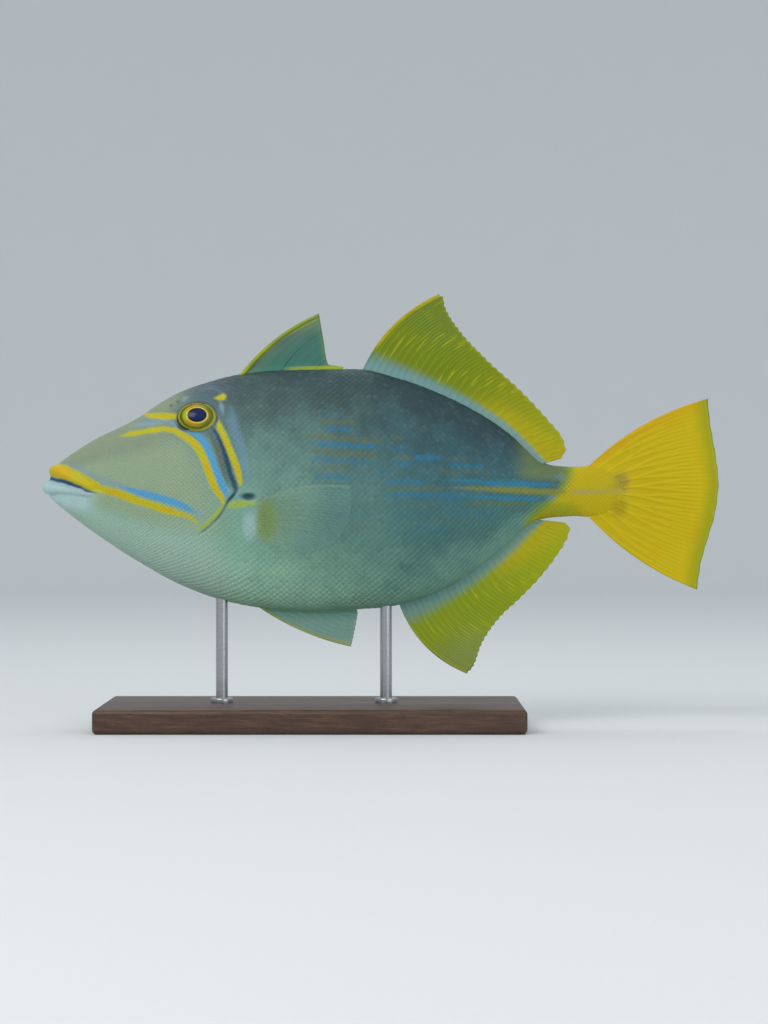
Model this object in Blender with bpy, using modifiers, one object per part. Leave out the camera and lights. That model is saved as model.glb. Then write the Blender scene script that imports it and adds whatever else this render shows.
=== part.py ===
"""A queen triggerfish, life size, as a still museum model held by two rods over a flat base.

The fish looks along -X and its back is up, along +Z. The sizes below are in millimetres. A place
on the fish is (along, up): how far it lies behind the lower lip, and how high over the body's
axis, which runs level from the mouth to the middle of the tail fin.
"""

from math import cos, pi, radians, sin

import bmesh
import bpy
import numpy as np
from mathutils import Matrix, Vector

MM = 0.001
GAP = 0.3  # kept between pieces that touch
MIDDLE = 169.2  # half the length of the fish, which puts the origin under its middle
AXIS_HEIGHT = 118  # of the body's axis over the floor

# Where the body is parted, as distances behind the lower lip
HEAD_END = 98.6
TORSO_END = 253.5
FLESH_END = 294.0
TAIL_ROOT = 274.0  # where the tail fin starts on the back and under the belly

# Outlines of the body in side view, and its half width in top view
BACK = [(3.6, 5.8), (5.2, 9.2), (8, 13.2), (11.5, 16), (29, 27), (39, 31.7), (49, 37), (59, 43.8),
        (69, 49.3), (80, 53.4), (99, 58.3), (118, 60.4), (158, 61), (179, 56.3), (199, 49), (219, 39),
        (234, 28.8), (243, 20.3), (250, 14.4), (258, 12.6), (267, 12.2), (274, 12.9)]
BELLY = [(3.6, -3), (5.2, -4.6), (9, -8), (19, -15.8), (29, -23.1), (49, -36), (69, -47), (89, -54.5),
         (109, -58.7), (135, -60.2), (167, -59), (179, -57.3), (190, -54.3), (207, -46.5), (222.5, -35.8),
         (235.5, -25), (243, -18), (249, -14.8), (257, -13.6), (267, -13.1), (274, -13.7)]
HALF_WIDTH = [(3.6, 2.5), (5.2, 3.7), (8, 5.6), (12, 7.2), (20, 9.7), (35, 13.4), (55, 17.6), (75, 21),
              (95, 23.4), (118, 24.5), (145, 24), (170, 21.8), (195, 18), (220, 12.8), (240, 8.6),
              (255, 6.2), (270, 4.6), (280, 3.1), (290, 1.5), (294, 0.9)]
BACK_SHARPNESS = 1.12  # 1 gives an elliptic section, and more a sharper ridge
BELLY_SHARPNESS = 1.04

# Eye, an ellipsoid set in a socket, and the rim of skin round it
EYE = (77, 37.3)
EYE_RADII = (10, 6.5, 8.2)  # along, sideways, up
EYE_SUNK = 3.8
EYE_TILT = radians(18)
ORBIT_BULGE = 1.9
ORBIT_SPREAD = 8.5
RIM_RADII = (8.7, 7.1)
RIM_THICKNESS = 0.9

# Lips: (along, sideways, up, radius) of half of each, from the corner of the mouth to its front
UPPER_LIP = [(31, 9.4, -0.8, 1.2), (26, 10.1, 1.3, 1.7), (19, 8.5, 4.9, 2.3), (12.5, 5.6, 7.8, 2.8),
             (8.6, 3.2, 9.3, 3.2), (7.2, 1.6, 9.7, 3.3), (6.9, 0, 9.8, 3.4)]
LOWER_LIP = [(30, 9.3, -3.6, 1.1), (25, 9.9, -2.4, 1.5), (17, 7.7, -0.8, 2.1), (9.5, 5, 0.5, 2.8),
             (5.4, 2.9, 0.9, 3.4), (4, 1.5, 0.9, 3.6), (3.7, 0, 0.9, 3.6)]
MOUTH_UPPER_EDGE = [(-2, 7.4), (5, 7.2), (8, 6.1), (12, 4.6), (19, 2.2), (26.5, -0.6)]
MOUTH_LOWER_EDGE = [(19, 1.4), (12, 3.4), (8, 4.3), (5, 4.4), (-2, 4.4)]

# Small forms of the head's side
NOSTRILS = [(64.5, 42.4), (68, 44.4)]
NOSTRIL_RADIUS = 0.75
EYE_GROOVE = [(46, 33.6), (54, 34.2), (62, 33.8), (67, 32.2)]
GILL_COVER_EDGE = [(96.6, 1), (94.5, -4.5), (91, -9.2), (85.5, -16), (80.5, -20.6), (76, -24)]
GROOVE_RADIUS = 0.8
GILL_OPENING = (102.6, -3.3)
GILL_OPENING_RADII = (4.0, 1.7, 1.9)

# Fins. Each edge is a line of (along, up). Rays run from the root to the margin.
SPINE_FIN_ROOT = (99.2, 150.5)
SPINE_FIN_MARGIN = [(138.5, 88.6), (140.6, 76), (143, 64.2), (147, 63.2), (150.8, 62.4)]
SOFT_DORSAL_ROOT = (160.5, 252.0)
SOFT_DORSAL_MARGIN = [(200, 98.5), (201.6, 92), (209, 80), (224, 64), (239, 50.5), (254, 34.5),
                      (260.5, 26), (262, 20.5), (259.5, 16)]
ANAL_ROOT = (178.8, 249.5)
ANAL_MARGIN = [(212.5, -91.5), (215.6, -88), (220, -76.5), (229, -63.5), (239, -54), (249, -43.5),
               (257.5, -32.5), (263, -23), (264, -18.8), (261.5, -16)]
PELVIC_ROOT = (109, 157.5)
PELVIC_MARGIN = [(154.6, -78), (156, -72), (157.2, -66), (158, -61.4)]
TAIL_MARGIN = [(333, 46), (334, 35), (336.8, 18), (338.2, 4), (336.8, -10), (333, -24), (329.4, -37), (327.5, -49.5)]
PECTORAL_ROOT = [(106, -6.5), (106, -23.5)]
PECTORAL_MARGIN = [(154.5, 2), (156, -5), (153, -18), (144, -28), (132, -31)]
PECTORAL_STANDS_OFF = 10.0
NOTCH = 0.7  # how far the skin between two rays falls short of their tips
SPINES = (0, 0.4, 0.74)  # of the first dorsal fin, as shares of its root
SOFT_DORSAL_RAYS = 29
ANAL_RAYS = 27
PECTORAL_RAYS = 15
TAIL_RAYS = 12  # each splits in two
PELVIC_RAYS = 9

# Stand
BASE_SIZE = (210, 112, 12)
BASE_CENTRE = -34  # along X
BASE_BEVEL = 2.5
ROD_RADIUS = 3.0
ROD_PLACES = [90, 172]  # behind the lower lip


def smooth(points, x):
    """Height at x of a smooth line through the points, which doesn't overshoot them."""
    xs, ys = np.array(points, float).T
    x = np.asarray(x, float)
    step = np.diff(xs)
    slope = np.diff(ys) / step
    bend = np.concatenate([slope[:1], np.zeros(len(slope) - 1), slope[-1:]])
    turning = slope[1:] * slope[:-1]
    rising = turning > 0
    bend[1:-1][rising] = 2 * turning[rising] / (slope[1:] + slope[:-1])[rising]
    k = np.clip(np.searchsorted(xs, x) - 1, 0, len(step) - 1)
    f = np.clip((x - xs[k]) / step[k], 0, 1)
    return (ys[k] * (1 + 2 * f) * (1 - f) ** 2 + ys[k + 1] * f * f * (3 - 2 * f)
            + step[k] * f * (1 - f) * (bend[k] * (1 - f) - bend[k + 1] * f))


def on_line(points, share):
    """The point at this share of the length of a smooth line through the points."""
    points = np.array(points, float)
    reach = np.concatenate([[0], np.cumsum(np.linalg.norm(np.diff(points, axis=0), axis=1))])
    return [float(smooth(list(zip(reach, column)), share * reach[-1])) for column in points.T]


def world(along, sideways, up):
    """The place in metres. Negative sideways is the fish's left side."""
    return Vector((along - MIDDLE, sideways, up + AXIS_HEIGHT)) * MM


def section(along):
    """Middle height, half height and half width of the body's section."""
    top = float(smooth(BACK, along))
    bottom = float(smooth(BELLY, along))
    if along > TAIL_ROOT:
        share = (along - TAIL_ROOT) / (FLESH_END - TAIL_ROOT)
        round_end = (1 - share ** 2) ** 0.5
        middle = (top + bottom) / 2
        top, bottom = middle + (top - middle) * round_end, middle + (bottom - middle) * round_end
    return (top + bottom) / 2, (top - bottom) / 2, float(smooth(HALF_WIDTH, along))


def orbit(along, up):
    """How far the skin stands out round the eye."""
    away = ((along - EYE[0]) ** 2 + (up - EYE[1]) ** 2) / (2 * ORBIT_SPREAD ** 2)
    return ORBIT_BULGE * float(np.exp(-away))


def body_ring_point(along, angle):
    """(sideways, up) on the section, from the right side at 0 over the back at a quarter turn."""
    middle, half_height, half_width = section(along)
    sharpness = BACK_SHARPNESS if sin(angle) > 0 else BELLY_SHARPNESS
    side = 1 if cos(angle) > 0 else -1
    across = abs(cos(angle))
    if across < 1e-9:
        return 0.0, middle + half_height * sin(angle)
    up = middle + half_height * sin(angle)
    return side * (half_width * across ** sharpness + orbit(along, up)), up


def body_side(along, up):
    """Half width of the body at that height."""
    middle, half_height, half_width = section(along)
    level = min(max((up - middle) / half_height, -1), 1)
    sharpness = BACK_SHARPNESS if level > 0 else BELLY_SHARPNESS
    return half_width * (1 - level * level) ** (sharpness / 2) + orbit(along, up)


def underside(along, sideways):
    """Height of the body's lower surface."""
    middle, half_height, half_width = section(along)
    across = (abs(sideways) / half_width) ** (1 / BELLY_SHARPNESS)
    return middle - half_height * (1 - across * across) ** 0.5


def stations(start, end, count, crowding=1.0):
    """Distances from start to end, closer together at the start where crowding is over 1."""
    return [start + (end - start) * (i / (count - 1)) ** crowding for i in range(count)]


def material(name, colour, roughness, metallic=0.0):
    made = bpy.data.materials.new(name)
    made.use_nodes = True
    shader = made.node_tree.nodes["Principled BSDF"]
    shader.inputs["Base Color"].default_value = (*colour, 1)
    shader.inputs["Roughness"].default_value = roughness
    shader.inputs["Metallic"].default_value = metallic
    made.diffuse_color = (*colour, 1)
    return made


def object_of(name, mesh_builder, collection, finish=None):
    """A new object with the builder's mesh, shaded smooth except at sharp edges."""
    mesh = bpy.data.meshes.new(name)
    mesh_builder.normal_update()
    mesh_builder.to_mesh(mesh)
    mesh_builder.free()
    made = bpy.data.objects.new(name, mesh)
    collection.objects.link(made)
    if finish:
        mesh.materials.append(finish)
    mesh.shade_smooth()
    mesh.set_sharp_from_angle(angle=radians(50))
    return made


def body_length(name, places, around, collection, finish):
    """One length of the body: a skin through its sections, closed at both ends."""
    builder = bmesh.new()
    rings = []
    for along in places:
        ring = []
        for i in range(around):
            sideways, up = body_ring_point(along, 2 * pi * i / around)
            ring.append(builder.verts.new(world(along, sideways, up)))
        rings.append(ring)
    for near, far in zip(rings, rings[1:]):
        for i in range(around):
            j = (i + 1) % around
            builder.faces.new((near[i], far[i], far[j], near[j]))
    builder.faces.new(rings[0])
    builder.faces.new(rings[-1][::-1])
    bmesh.ops.recalc_face_normals(builder, faces=builder.faces)
    return object_of(name, builder, collection, finish)


def tube(name, path, radii, sides, collection):
    """A tube with rounded thickness along a path of points in millimetres, as a closed mesh."""
    curve = bpy.data.curves.new(name, "CURVE")
    curve.dimensions = "3D"
    curve.bevel_depth = MM
    curve.bevel_resolution = sides
    curve.use_fill_caps = True
    line = curve.splines.new("POLY")
    line.points.add(len(path) - 1)
    for point, place, radius in zip(line.points, path, radii):
        point.co = (*world(*place), 1)
        point.radius = radius
    drawn = bpy.data.objects.new(name, curve)
    collection.objects.link(drawn)
    graph = bpy.context.evaluated_depsgraph_get()
    mesh = bpy.data.meshes.new_from_object(drawn.evaluated_get(graph))
    builder = bmesh.new()
    builder.from_mesh(mesh)
    bmesh.ops.remove_doubles(builder, verts=builder.verts, dist=0.00001)
    bmesh.ops.recalc_face_normals(builder, faces=builder.faces)
    bpy.data.objects.remove(drawn)
    return object_of(name, builder, collection)


def lip(name, half, collection):
    """A lip: a tube that runs from one corner of the mouth round its front to the other."""
    steps = 9
    points = [on_line(half, i / steps) for i in range(steps + 1)]
    mirrored = [(along, -sideways, up, radius) for along, sideways, up, radius in points[-2::-1]]
    whole = points + mirrored
    return tube(name, [p[:3] for p in whole], [p[3] for p in whole], 2, collection)


def surface_groove(name, line, side, radius, collection):
    """A tube half sunk along a line on the body's side, which cuts a groove."""
    steps = 10
    places = [on_line(line, i / steps) for i in range(steps + 1)]
    path = [(along, side * body_side(along, up), up) for along, up in places]
    radii = [radius * (0.35 + 0.65 * sin(pi * (0.1 + 0.8 * i / steps))) for i in range(steps + 1)]
    return tube(name, path, radii, 1, collection)


def ellipsoid(name, centre, radii, tilt, segments, rings, collection, finish=None):
    """An ellipsoid with its poles sideways, tilted about the fish's length."""
    builder = bmesh.new()
    bmesh.ops.create_uvsphere(builder, u_segments=segments, v_segments=rings, radius=MM)
    poles_sideways = Matrix.Rotation(radians(90), 4, "X")
    stretch = Matrix.Diagonal((*radii, 1))
    lean = Matrix.Rotation(tilt, 4, "X")
    place = Matrix.Translation(world(*centre))
    bmesh.ops.transform(builder, matrix=place @ lean @ stretch @ poles_sideways, verts=builder.verts)
    return object_of(name, builder, collection, finish)


def eye_centre(side, sunk=EYE_SUNK):
    out = body_side(*EYE) - sunk * cos(EYE_TILT)
    return EYE[0], side * out, EYE[1] - sunk * sin(EYE_TILT)


def eye_rim(name, side, collection):
    """The raised rim of skin round the eye, an elliptic ring."""
    major, minor = 24, 6
    builder = bmesh.new()
    rings = []
    for i in range(major):
        turn = 2 * pi * i / major
        ring = []
        for j in range(minor):
            swell = 2 * pi * j / minor
            reach = RIM_THICKNESS * cos(swell)
            along = (RIM_RADII[0] + reach) * cos(turn)
            height = (RIM_RADII[1] + reach) * sin(turn)
            ring.append(builder.verts.new(Vector((along, RIM_THICKNESS * sin(swell), height)) * MM))
        rings.append(ring)
    for i in range(major):
        for j in range(minor):
            near, far = rings[i], rings[(i + 1) % major]
            k = (j + 1) % minor
            builder.faces.new((near[j], near[k], far[k], far[j]))
    lean = Matrix.Rotation(side * EYE_TILT, 4, "X")
    place = Matrix.Translation(world(*eye_centre(side, sunk=0.1)))
    bmesh.ops.transform(builder, matrix=place @ lean, verts=builder.verts)
    bmesh.ops.recalc_face_normals(builder, faces=builder.faces)
    return object_of(name, builder, collection)


def mouth_gap(name, collection):
    """The wedge between the lips, wider at the front."""
    outline = MOUTH_UPPER_EDGE + MOUTH_LOWER_EDGE
    half_width = 20
    builder = bmesh.new()
    left = [builder.verts.new(world(along, -half_width, up)) for along, up in outline]
    right = [builder.verts.new(world(along, half_width, up)) for along, up in outline]
    builder.faces.new(left)
    builder.faces.new(right[::-1])
    for i in range(len(outline)):
        j = (i + 1) % len(outline)
        builder.faces.new((left[i], right[i], right[j], left[j]))
    bmesh.ops.recalc_face_normals(builder, faces=builder.faces)
    return object_of(name, builder, collection)


def nostril(name, along, up, side, collection):
    depth = 3.0
    builder = bmesh.new()
    bmesh.ops.create_cone(builder, cap_ends=True, segments=10, radius1=NOSTRIL_RADIUS * MM,
                          radius2=NOSTRIL_RADIUS * MM, depth=depth * MM)
    turn = Matrix.Rotation(radians(90) - side * EYE_TILT, 4, "X")
    place = Matrix.Translation(world(along, side * body_side(along, up), up))
    bmesh.ops.transform(builder, matrix=place @ turn, verts=builder.verts)
    return object_of(name, builder, collection)


def booleaned(target, collection, operation):
    """The target joined with, or cut by, all of the collection, as one applied mesh."""
    modifier = target.modifiers.new(operation, "BOOLEAN")
    modifier.operation = operation
    modifier.operand_type = "COLLECTION"
    modifier.collection = collection
    modifier.solver = "EXACT"
    graph = bpy.context.evaluated_depsgraph_get()
    mesh = bpy.data.meshes.new_from_object(target.evaluated_get(graph))
    target.modifiers.clear()
    target.data = mesh
    for used in list(collection.objects):
        bpy.data.objects.remove(used)
    bpy.data.collections.remove(collection)
    keep_largest_surface(target)


def keep_largest_surface(target):
    """Drops loose scraps and sealed hollows."""
    builder = bmesh.new()
    builder.from_mesh(target.data)
    bmesh.ops.triangulate(builder, faces=builder.faces)
    left = set(builder.verts)
    surfaces = []
    while left:
        found, edge = set(), [left.pop()]
        while edge:
            vertex = edge.pop()
            found.add(vertex)
            near = {e.other_vert(vertex) for e in vertex.link_edges} & left
            left -= near
            edge.extend(near)
        surfaces.append(found)
    largest = max(surfaces, key=len)
    scraps = [v for found in surfaces if found is not largest for v in found]
    bmesh.ops.delete(builder, geom=scraps, context="VERTS")
    builder.to_mesh(target.data)
    builder.free()
    target.data.shade_smooth()
    target.data.set_sharp_from_angle(angle=radians(50))


def helper_collection(name):
    made = bpy.data.collections.new(name)
    bpy.context.scene.collection.children.link(made)
    return made


def make_head(collection, skin):
    around = 44
    head = body_length("head", stations(3.6, HEAD_END, 28, 1.3), around, collection, skin)
    joined = helper_collection("joined_to_head")
    lip("upper_lip", UPPER_LIP, joined)
    lip("lower_lip", LOWER_LIP, joined)
    for side in (-1, 1):
        eye_rim("rim", side, joined)
    booleaned(head, joined, "UNION")
    cutters = helper_collection("head_cutters")
    mouth_gap("mouth_gap", cutters)
    for side in (-1, 1):
        grown = [radius + GAP for radius in EYE_RADII]
        ellipsoid("socket", eye_centre(side), grown, side * EYE_TILT, 22, 12, cutters)
        for along, up in NOSTRILS:
            nostril("nostril", along, up, side, cutters)
        surface_groove("eye_groove", EYE_GROOVE, side, GROOVE_RADIUS, cutters)
        surface_groove("gill_cover_edge", GILL_COVER_EDGE, side, GROOVE_RADIUS, cutters)
    booleaned(head, cutters, "DIFFERENCE")


def make_torso(collection, skin):
    around = 44
    torso = body_length("torso", stations(HEAD_END + GAP, TORSO_END, 27), around, collection, skin)
    cutters = helper_collection("torso_cutters")
    for side in (-1, 1):
        along, up = GILL_OPENING
        centre = (along, side * body_side(along, up), up)
        ellipsoid("gill_opening", centre, GILL_OPENING_RADII, 0, 12, 8, cutters)
    booleaned(torso, cutters, "DIFFERENCE")


def make_tail_stalk(collection, skin):
    places = stations(TORSO_END + GAP, TAIL_ROOT, 6) + [278, 283, 287.5, 291, 293, FLESH_END - 0.15]
    body_length("tail_stalk", places, 28, collection, skin)


def ray_columns(count):
    """Columns from root to margin, on each ray and halfway between two: (share of the root, how
    much of a ray's height it has at the root, and at the margin)."""
    columns = []
    for i in range(2 * count - 1):
        on_ray = 1.0 if i % 2 == 0 else 0.0
        columns.append((i / (2 * count - 2), on_ray, on_ray))
    return columns


def split_ray_columns(count):
    """The same for rays that split in two on their way out."""
    width = 1 / (count - 1)
    columns = [(0.0, 1.0, 1.0), (0.5 * width, 0.0, 0.0)]
    for i in range(1, count - 1):
        columns.append(((i - 0.2) * width, 0.95, 1.0))
        columns.append((i * width, 1.1, 0.15))
        columns.append(((i + 0.2) * width, 0.95, 1.0))
        columns.append(((i + 0.5) * width, 0.0, 0.0))
    columns.append((1.0, 1.0, 1.0))
    return columns


def spine_columns(places):
    """Columns for a few strong spines, each with a narrow foot on both of its sides."""
    columns = []
    for i, place in enumerate(places):
        if i:
            columns.append((place - 0.07, 0.0, 0.0))
        height = 1 - 0.28 * i
        columns.append((place, height, height))
        columns.append((place + 0.07, 0.0, 0.0))
        columns.append((place + 0.17, 0.0, 0.0))
    columns.append((1.0, 0.0, 0.0))
    return columns


def sheet(name, place, thickness, columns, rows, collection, finish):
    """A fin as one closed sheet. place(column, v, side) is the middle of its thickness, v of the
    way out, and its two faces are split along the same diagonals."""
    builder = bmesh.new()
    faces = []
    for side in (-1, 1):
        grid = []
        for column in columns:
            line = []
            for row in range(rows + 1):
                v = row / rows
                along, sideways, up = place(column, v, side)
                line.append(builder.verts.new(world(along, sideways + side * thickness(column, v), up)))
            grid.append(line)
        faces.append(grid)
    left, right = faces
    for grid in (left, right):
        for c in range(len(columns) - 1):
            for r in range(rows):
                a, b, d, e = grid[c][r], grid[c + 1][r], grid[c + 1][r + 1], grid[c][r + 1]
                builder.faces.new((a, b, d))
                builder.faces.new((a, d, e))
    border = [(c, 0) for c in range(len(columns))]
    border += [(len(columns) - 1, r) for r in range(1, rows + 1)]
    border += [(c, rows) for c in range(len(columns) - 2, -1, -1)]
    border += [(0, r) for r in range(rows - 1, 0, -1)]
    for (c, r), (d, s) in zip(border, border[1:] + border[:1]):
        builder.faces.new((left[c][r], left[d][s], right[d][s]))
        builder.faces.new((left[c][r], right[d][s], right[c][r]))
    bmesh.ops.recalc_face_normals(builder, faces=builder.faces)
    return object_of(name, builder, collection, finish)


def fan(root, margin, crowding, first_bow, last_bow):
    """place(u, v) of a fin in the fish's middle plane. root and margin give (along, up) at a share.
    crowding shifts the rays' tips along the margin, and the bows bend the first and last ray."""
    def place(column, v, side):
        u = column[0]
        start = np.array(root(u))
        end = np.array(margin(u - crowding * sin(pi * u)))
        reach = end - start
        reach *= 1 - NOTCH * (1 - min(column[2], 1)) / max(np.linalg.norm(reach), 8)
        bow = first_bow * (1 - u) + last_bow * u
        normal = np.array((-reach[1], reach[0])) / max(np.linalg.norm(reach), 1e-6)
        along, up = start + reach * v + normal * bow * 4 * v * (1 - v)
        return along, 0.0, up
    return place


def clear_of(outline, along):
    """Height over (or under) the outline that keeps the gap, also where it's steep."""
    slope = float(smooth(outline, along + 1) - smooth(outline, along - 1)) / 2
    return GAP * (1 + 1.4 * abs(slope))


def on_back(first, last):
    """Root of a fin on the back: share of its length to (along, up), just clear of the body."""
    def root(u):
        along = first + (last - first) * u
        return along, float(smooth(BACK, along)) + clear_of(BACK, along)
    return root


def under_belly(first, last):
    def root(u):
        along = first + (last - first) * u
        return along, float(smooth(BELLY, along)) - clear_of(BELLY, along)
    return root


def round_tail(u):
    """Root of the tail fin, round the end of the flesh."""
    angle = pi / 2 * (1 - 2 * u)
    middle = (float(smooth(BACK, TAIL_ROOT)) + float(smooth(BELLY, TAIL_ROOT))) / 2
    half = (float(smooth(BACK, TAIL_ROOT)) - float(smooth(BELLY, TAIL_ROOT))) / 2
    reach = FLESH_END - TAIL_ROOT
    return TAIL_ROOT + (reach + GAP) * cos(angle), middle + (half + GAP) * sin(angle)


def tapered(root, margin, ray_root, ray_margin, leading=1.0):
    """Half thickness: from root to margin, and what a ray adds to it. The first ray is stronger
    by the factor leading."""
    def thickness(column, v):
        ray = column[1] * (1 - v) * ray_root + column[2] * v * ray_margin
        if column[0] == 0:
            ray *= leading
        return root + (margin - root) * min(1, 3 * v) + ray
    return thickness


def line_at(points):
    return lambda share: on_line(points, min(max(share, 0), 1))


def make_median_fins(collection, soft, spiny):
    sheet("first_dorsal_fin", fan(on_back(*SPINE_FIN_ROOT), line_at(SPINE_FIN_MARGIN), 0.12, 2.4, 0),
          tapered(0.5, 0.27, 1.3, 0.75, 1.15), spine_columns(SPINES), 8, collection, spiny)
    sheet("second_dorsal_fin", fan(on_back(*SOFT_DORSAL_ROOT), line_at(SOFT_DORSAL_MARGIN), 0.09, 4.2, 0),
          tapered(0.6, 0.27, 0.75, 0.42, 1.5), ray_columns(SOFT_DORSAL_RAYS), 5, collection, soft)
    sheet("anal_fin", fan(under_belly(*ANAL_ROOT), line_at(ANAL_MARGIN), 0.09, -3.6, 0),
          tapered(0.6, 0.27, 0.75, 0.42, 1.5), ray_columns(ANAL_RAYS), 5, collection, soft)
    sheet("pelvic_flap", fan(under_belly(*PELVIC_ROOT), line_at(PELVIC_MARGIN), 0.1, -2.4, 0),
          tapered(0.9, 0.3, 0.5, 0.25, 2.2), ray_columns(PELVIC_RAYS), 5, collection, spiny)
    sheet("tail_fin", fan(round_tail, line_at(TAIL_MARGIN), 0, 3.2, -2.8),
          tapered(0.6, 0.27, 0.5, 0.24, 1.3), split_ray_columns(TAIL_RAYS), 6, collection, soft)


def pectoral_place(side):
    """place(u, v) of a fin that leaves the body's side and lies back along it."""
    flat = fan(line_at(PECTORAL_ROOT), line_at(PECTORAL_MARGIN), 0.0, 4.0, -0.5)

    def place(column, v, face):
        along, _, up = flat(column, v, face)
        if v == 0:
            # The root's end lies on the body, its outer face further forward than its inner one.
            along -= face * side * 1.6
            return along, side * (body_side(along, up) + GAP) - face * PECTORAL_ROOT_THICKNESS, up
        off = PECTORAL_STANDS_OFF * (1 - (1 - v) ** 1.5)
        return along, side * (body_side(along, up) + GAP + 1.2 + off), up
    return place


PECTORAL_ROOT_THICKNESS = 0.9


def make_pectoral_fins(collection, finish):
    for name, side in (("left", -1), ("right", 1)):
        sheet(f"pectoral_fin_{name}", pectoral_place(side), tapered(0.75, 0.27, 0.2, 0.2, 1.6),
              ray_columns(PECTORAL_RAYS), 5, collection, finish)


def make_eyes(collection, finish):
    for name, side in (("left", -1), ("right", 1)):
        ellipsoid(f"eye_{name}", eye_centre(side), EYE_RADII, side * EYE_TILT, 22, 12, collection, finish)


def make_stand(collection, wood, steel):
    length, width, height = (size * MM for size in BASE_SIZE)
    bpy.ops.mesh.primitive_cube_add(size=1, location=(BASE_CENTRE * MM, 0, height / 2))
    base = bpy.context.object
    base.name = "stand_base"
    base.data.transform(Matrix.Diagonal((length, width, height, 1)))
    base.data.materials.append(wood)
    bevel = base.modifiers.new("rounded edges", "BEVEL")
    bevel.width = BASE_BEVEL * MM
    bevel.segments = 2
    for owner in list(base.users_collection):
        owner.objects.unlink(base)
    collection.objects.link(base)
    sides = 20
    for name, along in zip(("front", "rear"), ROD_PLACES):
        builder = bmesh.new()
        foot = BASE_SIZE[2] + GAP - AXIS_HEIGHT
        low, high = [], []
        for i in range(sides):
            turn = 2 * pi * i / sides
            at = along + ROD_RADIUS * cos(turn)
            sideways = ROD_RADIUS * sin(turn)
            low.append(builder.verts.new(world(at, sideways, foot)))
            high.append(builder.verts.new(world(at, sideways, underside(at, sideways) - 1.4 * GAP)))
        top = builder.verts.new(world(along, 0, underside(along, 0) - 1.4 * GAP))
        builder.faces.new(low)
        for i in range(sides):
            j = (i + 1) % sides
            builder.faces.new((low[i], low[j], high[j], high[i]))
            builder.faces.new((high[i], high[j], top))
        bmesh.ops.recalc_face_normals(builder, faces=builder.faces)
        object_of(f"stand_rod_{name}", builder, collection, steel)


def main():
    for left_over in list(bpy.data.objects):
        bpy.data.objects.remove(left_over)
    fish = bpy.data.collections.new("queen_triggerfish")
    bpy.context.scene.collection.children.link(fish)
    skin = material("grey green skin", (0.16, 0.27, 0.26), 0.45)
    yellow = material("yellow fin", (0.52, 0.42, 0.02), 0.5)
    clear = material("pale fin", (0.25, 0.36, 0.28), 0.5)
    eye = material("eye", (0.03, 0.05, 0.1), 0.1)
    walnut = material("oiled walnut", (0.09, 0.045, 0.022), 0.45)
    steel = material("brushed steel", (0.6, 0.6, 0.6), 0.3, 1.0)
    make_head(fish, skin)
    make_torso(fish, skin)
    make_tail_stalk(fish, skin)
    make_eyes(fish, eye)
    make_median_fins(fish, yellow, clear)
    make_pectoral_fins(fish, clear)
    make_stand(fish, walnut, steel)


main()
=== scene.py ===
"""The looks of a life-size model of a queen triggerfish on a display stand.

Places on the fish are in millimetres: along is the distance behind the lower lip, sideways is
negative on its left side, and up is the height over the body's axis. The model looks along -X.
"""

from math import cos, pi, radians, sin

import bpy
import numpy as np
from mathutils import Matrix, Vector
from mathutils.bvhtree import BVHTree


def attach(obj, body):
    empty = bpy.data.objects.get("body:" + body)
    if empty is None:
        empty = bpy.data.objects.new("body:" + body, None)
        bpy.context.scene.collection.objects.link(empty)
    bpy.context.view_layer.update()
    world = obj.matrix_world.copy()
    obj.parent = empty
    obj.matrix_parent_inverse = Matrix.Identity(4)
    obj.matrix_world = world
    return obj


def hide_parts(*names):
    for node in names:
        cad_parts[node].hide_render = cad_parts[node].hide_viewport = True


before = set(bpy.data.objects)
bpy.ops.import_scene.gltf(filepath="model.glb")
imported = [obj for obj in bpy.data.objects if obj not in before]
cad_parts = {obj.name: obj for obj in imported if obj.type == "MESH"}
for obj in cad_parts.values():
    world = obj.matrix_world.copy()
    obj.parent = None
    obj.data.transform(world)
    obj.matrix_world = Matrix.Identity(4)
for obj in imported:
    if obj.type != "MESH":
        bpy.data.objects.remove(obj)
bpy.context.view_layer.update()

MM = 0.001
MIDDLE = 169.2  # where the frame's origin lies along the fish
AXIS_HEIGHT = 118  # the body's axis over the surface that the base stands on
SIDES = (("left", -1), ("right", 1))
CAMERA_PLACE = (1.8, -1500, 107.3)  # in the frame

# Outlines of the body in side view and its half width in top view, as in the solids
BACK = [(3.6, 5.8), (5.2, 9.2), (8, 13.2), (11.5, 16), (29, 27), (39, 31.7), (49, 37), (59, 43.8),
        (69, 49.3), (80, 53.4), (99, 58.3), (118, 60.4), (158, 61), (179, 56.3), (199, 49), (219, 39),
        (234, 28.8), (243, 20.3), (250, 14.4), (258, 12.6), (267, 12.2), (274, 12.9)]
BELLY = [(3.6, -3), (5.2, -4.6), (9, -8), (19, -15.8), (29, -23.1), (49, -36), (69, -47), (89, -54.5),
         (109, -58.7), (135, -60.2), (167, -59), (179, -57.3), (190, -54.3), (207, -46.5), (222.5, -35.8),
         (235.5, -25), (243, -18), (249, -14.8), (257, -13.6), (267, -13.1), (274, -13.7)]
HALF_WIDTH = [(3.6, 2.5), (5.2, 3.7), (8, 5.6), (12, 7.2), (20, 9.7), (35, 13.4), (55, 17.6), (75, 21),
              (95, 23.4), (118, 24.5), (145, 24), (170, 21.8), (195, 18), (220, 12.8), (240, 8.6),
              (255, 6.2), (270, 4.6), (280, 3.1), (290, 1.5), (294, 0.9)]
BACK_SHARPNESS = 1.12
BELLY_SHARPNESS = 1.04
LIP_FRONT = 3.6
TAIL_ROOT = 274.0
FLESH_END = 294.0
SKIN_VOXEL = 0.54
SKIN_TRIANGLES = 190000
SCALE_DEPTH = 0.3  # the skin lies this far inside the solids behind the head, under the scales

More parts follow.
